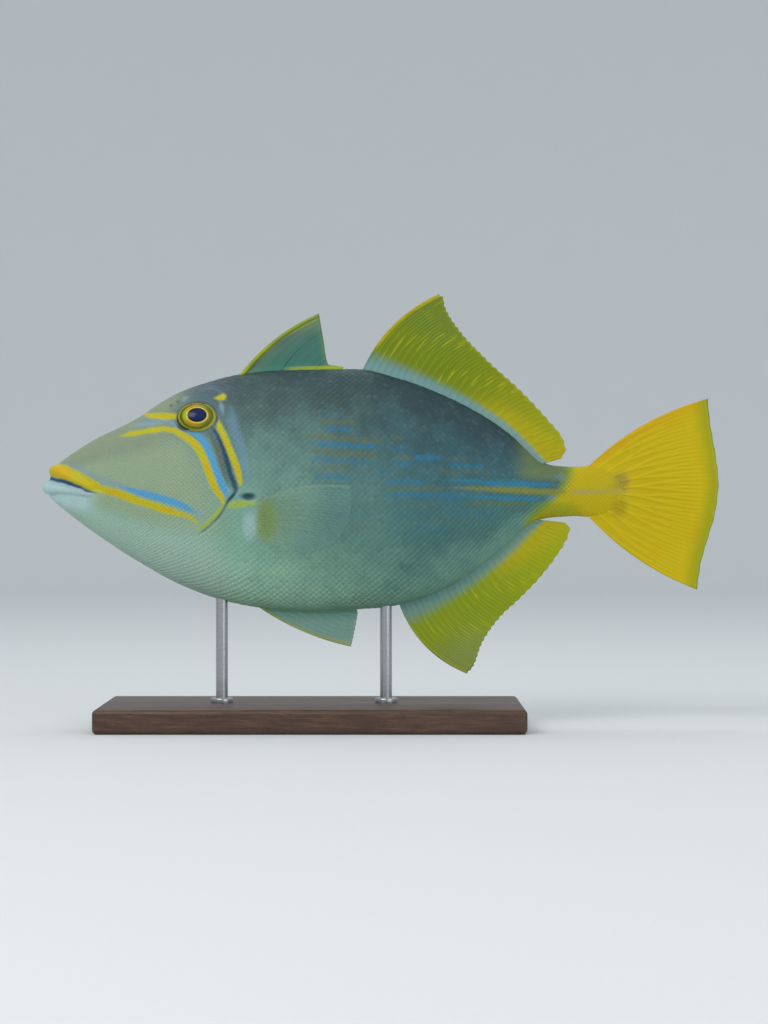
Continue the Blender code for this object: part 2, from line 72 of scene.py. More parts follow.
EYE = (78.5, 36.6)
EYE_RADII = (10, 6.5, 8.2)
EYE_SUNK = 3.8
EYE_TILT = radians(18)
ORBIT_BULGE = 1.9
ORBIT_SPREAD = 8.5
RIM_RADII = (8.7, 6.6)
PUPIL_RADII = (4.75, 3.7)
PUPIL_BACK = 0.2  # the pupil lies a little behind the eyeball's middle

UPPER_LIP = [(31, 9.4, -0.8, 1.2), (26, 10.1, 1.2, 1.7), (19, 8.5, 4.7, 2.3), (12.5, 5.6, 7.6, 2.8),
             (8.6, 3.2, 9.2, 3.2), (7.2, 1.6, 9.7, 3.3), (6.9, 0, 9.8, 3.4)]
LOWER_LIP = [(30, 9.3, -3.4, 1.1), (25, 9.9, -2.1, 1.5), (17, 7.7, -0.3, 2.1), (9.5, 5, 1, 2.8),
             (5.4, 2.9, 1.4, 3.4), (4, 1.5, 1.4, 3.6), (3.7, 0, 1.4, 3.6)]
MOUTH_SLIT = [(27.5, 10.8, -1, 0.3), (23, 10.6, -0.2, 0.6), (19, 9.8, 1.7, 0.75), (12, 7.5, 4.1, 0.85),
              (8, 5.9, 5.2, 0.9), (5.4, 4, 5.9, 0.95), (3.9, 2, 6.2, 1), (3.4, 0, 6.3, 1)]

NOSTRILS = [(64.5, 42.4), (68, 44.4)]
EYE_GROOVE = [(46, 33.6), (54, 34.2), (62, 33.8), (67, 32.2)]
MOUTH_CORNER_FOLD = [(25, 1.6), (29.5, 0.4), (33, -3), (34, -7.5)]
GILL_COVER_EDGE = [(97.2, 1), (95.2, -3), (92.5, -7), (90, -11), (86.5, -15.4), (82, -19.4), (76, -24)]
GILL_OPENING = (103.2, -3.3)

# Lines painted on the face: (along, up, half width), as they show in side view from 1.5 m away. A
# half width below zero fades the line out.
YELLOW_LINES = [
    [(1, 9.8, 3.6), (5, 10.1, 3.6), (10, 9.6, 3.7), (15, 7.5, 3.4), (21, 4.5, 3.1), (26.6, 2, 2.6)],
    [(27, 1.4, 1.8), (30.5, 0.6, 1.8), (36.5, -1.1, 2), (43, -3.4, 2), (50, -5.7, 1.9), (59, -8.7, 1.9),
     (68, -11.4, 1.4), (73, -12.9, 0.9), (76.5, -15.4, 0.4), (79, -18.2, -0.4)],
    [(33, 25.6, -0.9), (40, 27.4, 0.3), (44.5, 28.3, 1.1), (54, 29.9, 1.3), (60.5, 30.8, 1.3),
     (65, 30.3, 1.4), (69.5, 28.1, 1.5), (74.5, 25.1, 1.8), (78.5, 20.8, 2), (81, 15.8, 1.9),
     (83, 10.3, 1.9), (85, 4.8, 1.9), (87, 0.3, 1.7), (89.5, -3.2, 1.4), (90.5, -6.2, 0.8)],
    [(50, 38.5, 0.1), (55, 37.5, 1.4), (61.5, 37.1, 1.6), (67.5, 37.3, 1.3)],
    [(88.4, 36, -0.4), (88.6, 32.2, 1.5), (90.4, 28.5, 1.7), (92.5, 23.8, 1.7),
     (95.5, 16.8, 1.7), (98, 9.8, 1.5), (99.2, 3.3, 0.8)],
    [(85.6, 46.2, -0.1), (88, 46.4, 1.1), (90.2, 46.7, 1.8)]]
GOLD_LINES = [
    [(196, 1.6, -1.4), (208, 1.4, 0.2), (224, 0.8, 1.1), (238, 0.1, 1.5), (250, -0.5, 1.5), (261, -0.8, 0.9)]]
REAR_BLUE_LINES = [
    [(194, 5.4, -1.2), (208, 5, 0.4), (218, 4.6, 0.6), (225, 3.5, 1.2), (240, 3.2, 1.3), (252, 3, 0.8),
     (258, 2.8, -0.4)],
    [(208, -2.6, -1), (218, -3.2, 0.5), (232, -3.8, 0.9), (246, -4, 0.7), (254, -4, -0.6)]]
GREEN_LINES = [
    [(91, -6.2, 0.6), (88.5, -10.2, 1.2), (85, -14.2, 1.2), (81, -17.7, 1), (77, -20, 0.1)],
    [(92.5, -8.2, 0.4), (95, -7.2, 1.8), (99.5, -6.6, 2.1), (104.5, -6.4, 1.2), (110, -6.6, 0.2)],
    [(108, -58.2, -0.6), (130, -60, 0.4), (160, -59.8, 0.4), (178, -57.4, -0.6)]]
BLUE_LINES = [
    [(34, 3.4, -0.9), (40, 1.7, 0.4), (45, 0.2, 1.3), (53, -2.2, 1.9), (61.5, -4.4, 1.9), (69, -7, 1.7),
     (74, -9.5, 1.1), (78, -11.4, -0.2)],
    [(72, 30.6, 0.2), (77, 28.1, 1.5), (81, 23.8, 2), (84, 17.8, 2), (86, 12.3, 2), (88, 6.8, 2.1),
     (90.5, 1.8, 1.9), (92.5, -2.2, 0.8)]]
PALE_BLUE_LINES = [
    [(42, 31.4, -0.4), (49, 33.2, 1), (56.5, 34.2, 1.4), (62, 34.8, 1.3), (66, 33.2, 1.1), (69.5, 30.3, 1),
     (73.5, 28.4, 0.6)],
    [(70.2, 45, 0.2), (71.8, 46.2, 0.9), (73.6, 47, 0)],
    [(89, 44.6, 0.7), (90, 41.5, 1.2), (90.6, 38, 0.1)],
    [(76, -9.6, -0.3), (79.5, -11.2, 1.2), (81, -15, 0.1)],
    [(88.5, 12, -0.6), (91, 4, 0.6), (93, -1.2, 0.7)]]
LILAC_LINES = [
    [(10.5, 13.6, 0.1), (14, 12.4, 1.4), (20, 10, 1.4), (26, 7, 1.7), (32, 4.6, 1.7), (40, 2.8, 0.8)],
    [(78, 50, -0.5), (84, 51.5, 0.6), (91, 48.5, -0.2)],
    [(46, 35.8, 0.4), (56, 36, 0.2)],
    [(94.5, 42, 0.3), (95.2, 35, 2.6), (98, 26, 2.8), (101, 15, 2.2), (103, 5, 1.2)],
    [(96.5, -0.2, 0.6), (98.5, -2.8, 1.5), (99.5, -3.6, 0.6)],
    [(257, 6.8, 0.2), (259, 6.6, 1.6), (261, 6.4, 0.2)],
    [(252, -3.4, 0.2), (254.4, -3.7, 1.7), (257, -3.8, 0.2)],
    [(4, 4.4, 1), (11, 2.6, 1.3), (19, -0.4, 1), (25, -2.8, 0.1)]]
TEAL_LINES = [
    [(74.5, 45.9, 0.2), (78.5, 46.7, 0.9), (83.5, 45.2, 0.2)],
    [(82, 31.5, 0.6), (86.4, 26, 2), (89.2, 19.5, 2.6), (91.4, 12, 2.6), (94, 4, 1.8), (96, 0, 0.5)]]
BROWN_LINES = [
    [(83, 29.5, 0.2), (86.3, 24.8, 1), (88.2, 19.3, 1.3), (90, 13.3, 1.2), (91.5, 7.3, 0.9), (93.4, 1.5, 0)]]
DARK_LINES = [
    [(83.5, 33, 0.4), (88.2, 27, 1.1), (90.8, 20.8, 1.3), (92.5, 14.8, 1.3), (94, 8.8, 1.3), (96, 3.8, 1.5),
     (97, 0.3, 1.1)],
    [(97.5, 1.3, 0.9), (96, -1.7, 0.9), (93, -5.2, 0.5), (90.5, -10.2, 0.2), (87.5, -14.4, 0.1),
     (83.5, -18.2, 0), (79, -21.7, -0.1), (75.5, -24.2, -0.5)],
    [(66.8, 33.8, 0), (69, 31.3, 0.8), (72.5, 29, 0.2)],
    [(87, 36.8, 0), (87.6, 35.2, 0.7), (87.4, 33.8, 0)]]
# The dark blue line between the lips is painted shade: the shade in the slit of the closed mouth
MOUTH_SLIT_SHADE = [
    [(2.2, 6.7, 1.1), (6.9, 5.3, 1), (12.3, 4.1, 0.9), (15.9, 2.7, 0.8), (19.4, 1.5, 0.75), (23, -0.4, 0.7),
     (26.5, -1, 0.2)]]

# Short level lines on the flank: (up in front, up behind, first along, last along, half width, strength)
OLIVE_DASHES = [
    (39.4, 39.2, 150, 168, 1.0, 0.3), (34.4, 34, 138, 157, 1.5, 0.7), (27.6, 24, 132, 171, 1.5, 0.75),
    (26.8, 26.6, 174.5, 180.5, 1.5, 0.7), (20, 17.4, 134, 171, 1.6, 0.7), (16.4, 16.2, 177, 184, 1.4, 0.7),
    (16.2, 15.8, 200, 216, 1.4, 0.4), (11.9, 11.5, 140, 154, 1.6, 0.6), (9.8, 9.2, 196, 226, 1.5, 0.5),
    (1.4, 1.3, 170, 202, 1.5, 0.7), (-6.2, -6.8, 214, 244, 1.4, 0.75), (-18.4, -18.8, 152, 168, 1.4, 0.4),
    (-7, -7.4, 162, 200, 1.3, 0.4), (9.4, 9.2, 238, 250, 1.8, 0.6), (-13.8, -14.4, 196, 222, 1.4, 0.35),
    (-16, -16.4, 172, 190, 1.2, 0.35), (30.6, 30.2, 186, 196, 1.2, 0.3), (46, 45.6, 138, 152, 1.2, 0.25)]
BLUE_DASHES = [
    (31, 30.8, 141, 155, 1.4, 0.7), (23.9, 21.8, 136, 170, 1.6, 0.75), (21.8, 21.4, 172, 184, 1.4, 0.45),
    (16.1, 13.8, 134, 164, 1.5, 0.6), (16.6, 16.2, 185, 200, 1.6, 0.8), (13.9, 13.7, 176, 184, 1.6, 0.7),
    (6.9, 6.6, 136, 155, 1.6, 0.6), (9.2, 8.8, 168, 174, 1.7, 0.5), (12.6, 12, 203, 222, 1.6, 0.6),
    (4.4, 4.2, 172, 192, 1.6, 0.65), (-18.8, -19.2, 184, 204, 1.4, 0.4), (-2, -2.6, 172, 214, 1.6, 0.6),
    (-9, -9.6, 206, 232, 1.3, 0.25), (1, 0.8, 140, 158, 1.4, 0.3), (-11.8, -12.4, 204, 226, 1.4, 0.4),
    (37.8, 37.6, 139, 155, 1.2, 0.35)]

SPINE_FIN_ROOT = (99.2, 150.5)
SPINE_FIN_MARGIN = [(138.5, 88.6), (140.6, 76), (143.4, 63), (147, 62.4), (150.8, 61.9)]
# The three spines: share of the root, radius at root and tip, how much they show in the skin
SPINES = [(0, 1.6, 0.75, 1), (0.4, 0.62, 0.25, 0.25), (0.74, 0.5, 0.2, 0.25)]
SOFT_DORSAL_ROOT = (160.5, 252.0)
SOFT_DORSAL_MARGIN = [(198.2, 98.2), (200.3, 97.2), (201.6, 92), (209, 80), (224, 64), (239, 50.5),
                      (254, 34.5), (260.5, 26), (262, 20.5), (259.5, 16)]
ANAL_ROOT = (178.8, 249.5)
ANAL_MARGIN = [(212.5, -91.5), (215.6, -88), (220, -76.5), (229, -63.5), (239, -54), (249, -43.5),
               (257.5, -32.5), (263, -23), (264, -18.8), (261.5, -16)]
PELVIC_ROOT = (109, 157.5)
PELVIC_MARGIN = [(154.6, -78), (156, -72), (157.2, -66), (158, -61.4)]
TAIL_MARGIN = [(333, 46), (334, 35), (336.8, 18), (338.2, 4), (336.8, -10), (333, -24), (329.4, -37),
               (327.5, -49.5)]
PECTORAL_ROOT = [(106, -6.5), (106, -23.5)]
PECTORAL_MARGIN = [(154.5, 2), (156, -5), (153, -18), (144, -28), (132, -31)]
PECTORAL_STANDS_OFF = 10.0
SOFT_DORSAL_RAYS = 29
ANAL_RAYS = 27
PECTORAL_RAYS = 15
TAIL_RAYS = 12
PELVIC_RAYS = 9

# Front edge of the scaled skin, from the back to the belly
SCALES_FRONT = [(80, 62), (90, 50), (95, 38), (99.5, 20), (102, 5), (106.5, -1), (111, -4), (110, -24),
                (102, -28), (92, -40), (84, -54), (80, -62)]
# A scale's foot in the skin, shoulder and, behind the head, crown: share of its half size, rise, tilt
HEAD_SCALE = [(1.0, 0, 0), (0.78, 0.13, 0.8)]
BODY_SCALE = [(1.0, 0, 0), (0.8, 0.12, 1.0), (0.36, 0.15, 0.5)]
SCALES_ASIDE = 1.94  # distance between scales up the side, in half sizes
# Pieces of scales on each side: name, whether on the head, span along the fish, solids replaced. The
# flank has two, to keep each mesh small.
SCALE_PIECES = (("head_scales_", True, (0, 300), ["head"]), ("scales_", False, (0, 170), ["torso"]),
                ("tail_scales_", False, (170, 300), ["torso", "tail_stalk"]))
UNWRAP_WIDTH = 400  # how much of the skin the unwrap's whole width holds, in mm
BAKE_PATCH = 0.003

BASE_SIZE = (210, 112, 12)
BASE_CENTRE = -34
ROD_RADIUS = 3.0
ROD_IN_BASE = 1
ROD_IN_BELLY = 2
COLLAR_RADIUS = 5.6
COLLAR_HEIGHT = 2.6
COLLAR_IN_BASE = 0.8
ROD_PLACES = {"front": 90, "rear": 172}

# The stage, in metres: its flat floor, the bend up into the wall, and the length of both with it
FLOOR_RADIUS = 2.4
FLOOR_BEND = 1.2
STAGE_RUN = 4.9


# Shape of the fish

def smooth(points, x):
    """Height at x of a smooth line through the points, which doesn't overshoot them."""
    xs, ys = np.array(points, float)[:, :2].T
    x = np.asarray(x, float)
    step = np.diff(xs)
    slope = np.diff(ys) / step
    bend = np.concatenate([slope[:1], np.zeros(len(slope) - 1), slope[-1:]])
    rising = slope[1:] * slope[:-1] > 0
    bend[1:-1][rising] = 2 * (slope[1:] * slope[:-1])[rising] / (slope[1:] + slope[:-1])[rising]
    k = np.clip(np.searchsorted(xs, x) - 1, 0, len(step) - 1)
    f = np.clip((x - xs[k]) / step[k], 0, 1)
    return (ys[k] * (1 + 2 * f) * (1 - f) ** 2 + ys[k + 1] * f * f * (3 - 2 * f)
            + step[k] * f * (1 - f) * (bend[k] * (1 - f) - bend[k + 1] * f))


def on_line(points, share):
    """Points at these shares of the length of a smooth line through the points."""
    points = np.array(points, float)
    reach = np.concatenate([[0], np.cumsum(np.linalg.norm(np.diff(points, axis=0), axis=1))])
    return np.stack([smooth(np.stack([reach, column], 1), np.clip(share, 0, 1) * reach[-1])
                     for column in points.T], -1)


def ease(low, high, x):
    """0 before low, 1 after high, and smooth between."""
    f = np.clip((np.asarray(x, float) - low) / (high - low), 0, 1)
    return f * f * (3 - 2 * f)


def section(along):
    """Middle height, half height and half width of the body's section."""
    top = smooth(BACK, along)
    bottom = smooth(BELLY, along)
    share = np.clip((along - TAIL_ROOT) / (FLESH_END - TAIL_ROOT), 0, 1)
    round_end = np.sqrt(1 - share ** 2)
    return (top + bottom) / 2, (top - bottom) / 2 * round_end, smooth(HALF_WIDTH, along)


def orbit(along, up):
    """How far the skin stands out round the eye."""
    away = ((along - EYE[0]) ** 2 + (up - EYE[1]) ** 2) / (2 * ORBIT_SPREAD ** 2)
    return ORBIT_BULGE * np.exp(-away)


def body_side(along, up):
    """Half width of the body at that height."""
    middle, half_height, half_width = section(along)
    level = np.clip((up - middle) / np.maximum(half_height, 1e-6), -1, 1)
    sharpness = np.where(level > 0, BACK_SHARPNESS, BELLY_SHARPNESS)
    return half_width * (1 - level * level) ** (sharpness / 2) + orbit(along, up)


def body_point(along, turn, inside):
    """Points on the body's sections, from the right side at 0 over the back at a quarter turn."""
    middle, half_height, half_width = section(along)
    across = np.abs(np.cos(turn))
    sharpness = np.where(np.sin(turn) > 0, BACK_SHARPNESS, BELLY_SHARPNESS)
    up = middle + np.maximum(half_height - inside, 0.05) * np.sin(turn)
    out = np.maximum(half_width - inside, 0.2) * across ** sharpness + orbit(along, up) * across ** 0.5
    return np.stack([along, np.sign(np.cos(turn)) * out, up], -1)


def skin_inset(along):
    return 0.12 + (SCALE_DEPTH - 0.12) * ease(86, 104, along)


def to_world(places):
    return (np.asarray(places, float) + (-MIDDLE, 0, AXIS_HEIGHT)) * MM


def eye_centre(side, sunk):
    out = float(body_side(*EYE)) - sunk * cos(EYE_TILT)
    return np.array([EYE[0], side * out, EYE[1] - sunk * sin(EYE_TILT)])


# Meshes

def deselect():
    bpy.ops.object.select_all(action="DESELECT")


def select_only(piece):
    deselect()
    piece.select_set(True)
    bpy.context.view_layer.objects.active = piece


def apply_modifier(piece, kind, **settings):
    modifier = piece.modifiers.new(kind.lower(), kind)
    for name, value in settings.items():
        setattr(modifier, name, value)
    bpy.context.view_layer.objects.active = piece
    bpy.ops.object.modifier_apply(modifier=modifier.name)


def points_of(piece):
    found = np.empty(len(piece.data.vertices) * 3, np.float32)
    piece.data.vertices.foreach_get("co", found)
    return found.reshape(-1, 3).astype(float)


def set_points(piece, points):
    piece.data.vertices.foreach_set("co", np.asarray(points, np.float32).ravel())
    piece.data.update()


def normals_of(piece):
    found = np.empty(len(piece.data.vertices) * 3, np.float32)
    piece.data.vertices.foreach_get("normal", found)
    return found.reshape(-1, 3).astype(float)


def store(piece, name, values):
    """Keeps a value for each point of the piece, for its material to read."""
    attribute = piece.data.attributes.get(name) or piece.data.attributes.new(name, "FLOAT", "POINT")
    attribute.data.foreach_set("value", np.asarray(values, np.float32).ravel())


def stored(piece, name):
    found = np.empty(len(piece.data.vertices), np.float32)
    piece.data.attributes[name].data.foreach_get("value", found)
    return found.astype(float)


def point_normals_out(piece):
    select_only(piece)
    bpy.ops.object.mode_set(mode="EDIT")
    bpy.ops.mesh.select_all(action="SELECT")
    bpy.ops.mesh.normals_make_consistent(inside=False)
    bpy.ops.object.mode_set(mode="OBJECT")


def mesh_piece(name, points, faces):
    mesh = bpy.data.meshes.new(name)
    mesh.from_pydata(np.asarray(points).tolist(), [], faces)
    mesh.update()
    piece = bpy.data.objects.new(name, mesh)
    bpy.context.scene.collection.objects.link(piece)
    return piece


def sink_into_mesh(piece):
    """Puts the object's place, turn and size into its mesh."""
    piece.data.transform(piece.matrix_basis)
    piece.matrix_basis = Matrix.Identity(4)


def boolean(piece, other, operation):
    apply_modifier(piece, "BOOLEAN", object=other, operation=operation, solver="EXACT")
    bpy.data.objects.remove(other)


def hand_over(piece, name, material, nodes):
    """Names a finished piece, gives it its material, hangs it on the root and hides the solids it stands for.
    """
    piece.name = name
    piece.data.name = name
    piece.data.materials.clear()
    piece.data.materials.append(material)
    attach(piece, "root")
    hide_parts(*nodes)


# Markings that the skin and the scales share

def line_distance(line, along, up):
    """Distance of each place from a line, the side on which it lies, and the nearest point's share
    of the line. The side is positive in front of a line that runs down."""
    count = 6 * len(line)
    points = on_line(line, np.linspace(0, 1, count))
    nearest = np.full(along.shape, 1e9)
    side = np.ones(along.shape)
    share = np.zeros(along.shape)
    for i, (a, b) in enumerate(zip(points[:-1, :2], points[1:, :2])):
        reach = b - a
        f = np.clip(((along - a[0]) * reach[0] + (up - a[1]) * reach[1]) / max(reach @ reach, 1e-9), 0, 1)
        dx = along - a[0] - f * reach[0]
        dz = up - a[1] - f * reach[1]
        away = np.hypot(dx, dz)
        near = away < nearest
        nearest[near] = away[near]
        side[near] = np.where(reach[0] * dz - reach[1] * dx > 0, -1, 1)[near]
        share[near] = (i + f[near]) / (count - 1)
    return nearest, side, share


def painted(lines, along, up):
    """How deep inside the painted lines each place lies, in mm, and negative outside."""
    deepest = np.full(along.shape, -9.0)
    for line in lines:
        away, _, share = line_distance(line, along, up)
        count = 6 * len(line)
        widths = on_line(line, np.linspace(0, 1, count))[:, 2]
        deepest = np.maximum(deepest, np.interp(share, np.linspace(0, 1, count), widths) - away)
    # The edges waver a little, as real markings do
    return deepest + 0.14 * np.sin(along * 0.5 + up * 0.37) + 0.08 * np.sin(along * 0.9 - up * 1.3)


def dashes(lines, along, up):
    """Strength of the flank's short level lines."""
    strength = np.zeros(along.shape)
    for front, behind, first, last, half_width, most in lines:
        f = (along - first) / (last - first)
        level = front + (behind - front) * f + 0.3 * np.sin(along * 0.4 + front)
        ends = ease(-0.15, 0.15, f) * (1 - ease(0.82, 1.15, f))
        across = 1 - ease(0, half_width * 1.85, np.abs(up - level))
        strength = np.maximum(strength, most * ends * across * (0.8 + 0.2 * np.sin(along * 1.1 + 2 * front)))
    return strength


def seen(places):
    """Where places show in side view from the camera's place, along and up."""
    distance = -CAMERA_PLACE[1]
    along = CAMERA_PLACE[0] + MIDDLE
    up = CAMERA_PLACE[2] - AXIS_HEIGHT
    nearer = distance / (distance - np.abs(places[:, 1]))
    return along + (places[:, 0] - along) * nearer, up + (places[:, 2] - up) * nearer


def paint_tail_root(piece, along, up):
    """Stores the stripe and the two patches where the flesh ends in the tail fin."""
    stripe = ease(262, 270, along) * (1 - ease(0.4, 1.7, np.abs(up + 0.7))) * (1 - ease(286, 298, along))
    store(piece, "stalk_stripe", stripe)
    store(piece, "grey_patch", 1 - ease(0.1, 1.3, np.hypot((along - 289.5) / 5.4, (up - 4.6) / 6.6)))
    store(piece, "olive_patch", 1 - ease(0.1, 1.3, np.hypot((along - 288.5) / 5.4, (up + 8.2) / 7.4)))


def paint(piece, places):
    """Stores where each marking lies on a piece with these places on the fish."""
    along, up = seen(places)
    yellow = painted(YELLOW_LINES, along, up)
    store(piece, "yellow", yellow)
    lumps = 0.5 + 0.5 * np.sin(along * 0.36 + 0.9) * np.cos(up * 0.28 + 0.4)
    on_nape = ease(43, 45, up)
    store(piece, "orange", ease(0.1, 1.8, yellow) * (0.3 + 0.7 * ease(0.3, 0.9, lumps)) * (1 - on_nape))
    for name, lines in (("green", GREEN_LINES), ("blue", BLUE_LINES), ("pale_blue", PALE_BLUE_LINES),
                        ("lilac", LILAC_LINES), ("teal", TEAL_LINES), ("brown", BROWN_LINES),
                        ("gold", GOLD_LINES), ("rear_blue", REAR_BLUE_LINES), ("mouth", MOUTH_SLIT_SHADE)):
        store(piece, name, painted(lines, along, up))
    # A dark spot at the gill opening, painted shade in the slit, joins the dark lines
    gill_slit_shade = 1.7 - np.hypot((along - 103.3) / 3.4, (up + 3) / 1.7) * 1.7
    store(piece, "dark", np.maximum(painted(DARK_LINES, along, up), gill_slit_shade))
    store(piece, "olive_dash", dashes(OLIVE_DASHES, along, up))
    store(piece, "blue_dash", dashes(BLUE_DASHES, along, up))
    store(piece, "fin_shoulder", 1 - ease(0.1, 1.3, np.hypot((along - 103.8) / 5, (up + 17.5) / 9)))
    store(piece, "fin_root", 1 - ease(0.5, 1.2, np.hypot((along - 113) / 6.8, (up + 15) / 10.5)))
    store(piece, "brow", 1 - ease(0.2, 1.4, np.hypot((along - 84) / 17, (up - 50) / 6.5)))
    paint_tail_root(piece, along, up)
    along, sideways, up = places.T
    middle, half_height, _ = section(np.clip(along, LIP_FRONT, 280))
    level = np.clip((up - middle) / half_height, -1, 1)
    store(piece, "level", level)
    store(piece, "rear", ease(104, 205, along - 6 * level))
    head = 1 - ease(66, 104, along + 12 * level)
    store(piece, "cheek", head * ease(-0.7, -0.2, level) * (1 - ease(0.3, 0.9, level)))
    store(piece, "chin", head * (1 - ease(-0.7, -0.2, level)))
    store(piece, "crown", head * ease(0.2, 0.9, level))
    below_mouth = 1 - ease(-0.5, 1.5, up - 7.2 + 0.31 * along)
    store(piece, "lower_lip", (1 - ease(18, 34, along)) * ease(-10, -2, up + 0.2 * along) * below_mouth)
    away = np.hypot((along - EYE[0]) / RIM_RADII[0], (up - EYE[1] + 0.3) / RIM_RADII[1])
    near_face = np.clip(np.abs(sideways) - 6, 0, 1)
    store(piece, "eye_rim", (1 - ease(1.06, 1.16, away)) * near_face)
    store(piece, "eye_crest", (ease(0.93, 1.0, away) - ease(1.01, 1.09, away)) * near_face)
    store(piece, "eye_outline", (1 - ease(1.1, 1.3, away)) * near_face)
    store(piece, "eye_socket", (1 - ease(1.2, 2.1, away)) * near_face)
    near = np.clip(up, -14, 14)
    store(piece, "stalk", ease(-6, 6, along - 258 - 0.75 * near + 0.025 * near ** 2))
    store(piece, "stalk_top", ease(230, 248, along) * (1 - ease(257, 269, along)) * ease(2, 8, up))
    # The stalk's lower edge in a darker olive: partly its own tone, partly painted shade where the stalk
    # turns down
    store(piece, "low_stalk_olive_and_shade", ease(240, 250, along) * (1 - ease(262, 274, along)) * ease(-3, -9, up))


# Skin

def body_blank():
    """A sphere drawn out to the body."""
    deselect()
    bpy.ops.mesh.primitive_uv_sphere_add(segments=160, ring_count=300, radius=1)
    body = bpy.context.object
    ball = points_of(body)
    share = np.arccos(np.clip(ball[:, 2], -1, 1)) / pi
    turn = np.arctan2(ball[:, 1], ball[:, 0])
    along = LIP_FRONT + (FLESH_END - 0.2 - LIP_FRONT) * share ** 1.15
    set_points(body, body_point(along, turn, skin_inset(along)))
    point_normals_out(body)
    return body


def lip(half):
    """A lip, or the slit between two: a round curve of changing thickness from one corner of the
    mouth to the other."""
    side = on_line(half, np.linspace(0, 1, 36))
    whole = np.concatenate([side, side[-2::-1] * (1, -1, 1, 1)])
    curve = bpy.data.curves.new("lip", "CURVE")
    curve.dimensions = "3D"
    curve.bevel_depth = 1
    curve.bevel_resolution = 6
    curve.use_fill_caps = True
    line = curve.splines.new("POLY")
    line.points.add(len(whole) - 1)
    for point, (along, sideways, up, radius) in zip(line.points, whole):
        point.co = (along, sideways, up, 1)
        point.radius = radius - 0.08
    drawn = bpy.data.objects.new("lip", curve)
    bpy.context.scene.collection.objects.link(drawn)
    select_only(drawn)
    bpy.ops.object.convert(target="MESH")
    solid = bpy.context.object
    apply_modifier(solid, "WELD", merge_threshold=0.001)
    return solid


def eyeball(side, sunk, radii, segments, rings):
    deselect()
    bpy.ops.mesh.primitive_uv_sphere_add(segments=segments, ring_count=rings, radius=1,
                                         rotation=(radians(90), 0, 0))
    ball = bpy.context.object
    sink_into_mesh(ball)
    ball.scale = radii
    sink_into_mesh(ball)
    ball.rotation_euler = (side * EYE_TILT, 0, 0)
    ball.location = eye_centre(side, sunk)
    sink_into_mesh(ball)
    return ball


def eye_rim(side):
    deselect()
    bpy.ops.mesh.primitive_torus_add(major_segments=96, minor_segments=20, major_radius=RIM_RADII[0],
                                     minor_radius=0.78, rotation=(radians(90), 0, 0))
    rim = bpy.context.object
    sink_into_mesh(rim)
    rim.scale = (1, 1, RIM_RADII[1] / RIM_RADII[0])
    sink_into_mesh(rim)
    rim.rotation_euler = (side * EYE_TILT, 0, 0)
    rim.location = eye_centre(side, 0.2)
    sink_into_mesh(rim)
    return rim


def carve_details(skin):
    """Sinks the nostrils, folds and gill slit into the skin and raises the gill cover's edge."""
    places = points_of(skin)
    normals = normals_of(skin)
    along, up = seen(places)
    rise = np.zeros(len(places))
    for nostril in NOSTRILS:
        away = np.hypot(along - nostril[0], up - nostril[1])
        rise += 0.28 * np.exp(-((away - 1.15) / 0.4) ** 2) - 1.1 * np.exp(-(away / 0.62) ** 4)
    away, _, share = line_distance(EYE_GROOVE, along, up)
    rise -= 0.42 * np.exp(-(away / 0.85) ** 2) * np.sin(pi * share) ** 0.5
    away, _, share = line_distance(MOUTH_CORNER_FOLD, along, up)
    rise -= 0.35 * np.exp(-(away / 0.9) ** 2) * (1 - ease(0.5, 1, share))
    away, side, share = line_distance(GILL_COVER_EDGE, along, up)
    fade = ease(0, 0.12, share) * (1 - ease(0.75, 1, share))
    flap = np.where(side > 0, 0.5 * np.exp(-away / 3.2), -0.1 * np.exp(-away / 2.5))
    rise += fade * (flap * ease(0, 0.7, away) - 0.75 * np.exp(-(away / 0.6) ** 2))
    away = np.hypot((along - GILL_OPENING[0]) / 4.2, (up - GILL_OPENING[1]) / 1.9)
    rise += 0.45 * np.exp(-((away - 1.25) / 0.35) ** 2) - 1.5 * np.exp(-away ** 3)
    set_points(skin, places + normals * rise[:, None])


def make_skin(material):
    skin = body_blank()
    boolean(skin, lip(UPPER_LIP), "UNION")
    boolean(skin, lip(LOWER_LIP), "UNION")
    for side in (-1, 1):
        boolean(skin, eye_rim(side), "UNION")
    boolean(skin, lip(MOUTH_SLIT), "DIFFERENCE")
    for side in (-1, 1):
        boolean(skin, eyeball(side, EYE_SUNK, [r - 0.2 for r in EYE_RADII], 64, 40), "DIFFERENCE")
    apply_modifier(skin, "REMESH", mode="VOXEL", voxel_size=SKIN_VOXEL)
    apply_modifier(skin, "SMOOTH", factor=0.5, iterations=4)
    carve_details(skin)
    # The head keeps its fine mesh, and the flank under the scales gets a coarser one
    weights = ease(96, 112, points_of(skin)[:, 0])
    group = skin.vertex_groups.new(name="coarse")
    for step in range(1, 11):
        chosen = np.nonzero((weights > (step - 1) / 10) & (weights <= step / 10))[0]
        group.add(chosen.tolist(), step / 10, "REPLACE")
    wanted = SKIN_TRIANGLES / (2 * len(skin.data.polygons))
    if wanted < 1:
        apply_modifier(skin, "DECIMATE", ratio=wanted, vertex_group="coarse", vertex_group_factor=1)
    skin.vertex_groups.clear()
    places = points_of(skin)
    paint(skin, places)
    set_points(skin, to_world(places))
    skin.data.shade_smooth()
    hand_over(skin, "skin", material, ["head", "torso", "tail_stalk"])
    return BVHTree.FromObject(skin, bpy.context.evaluated_depsgraph_get())


# Scales

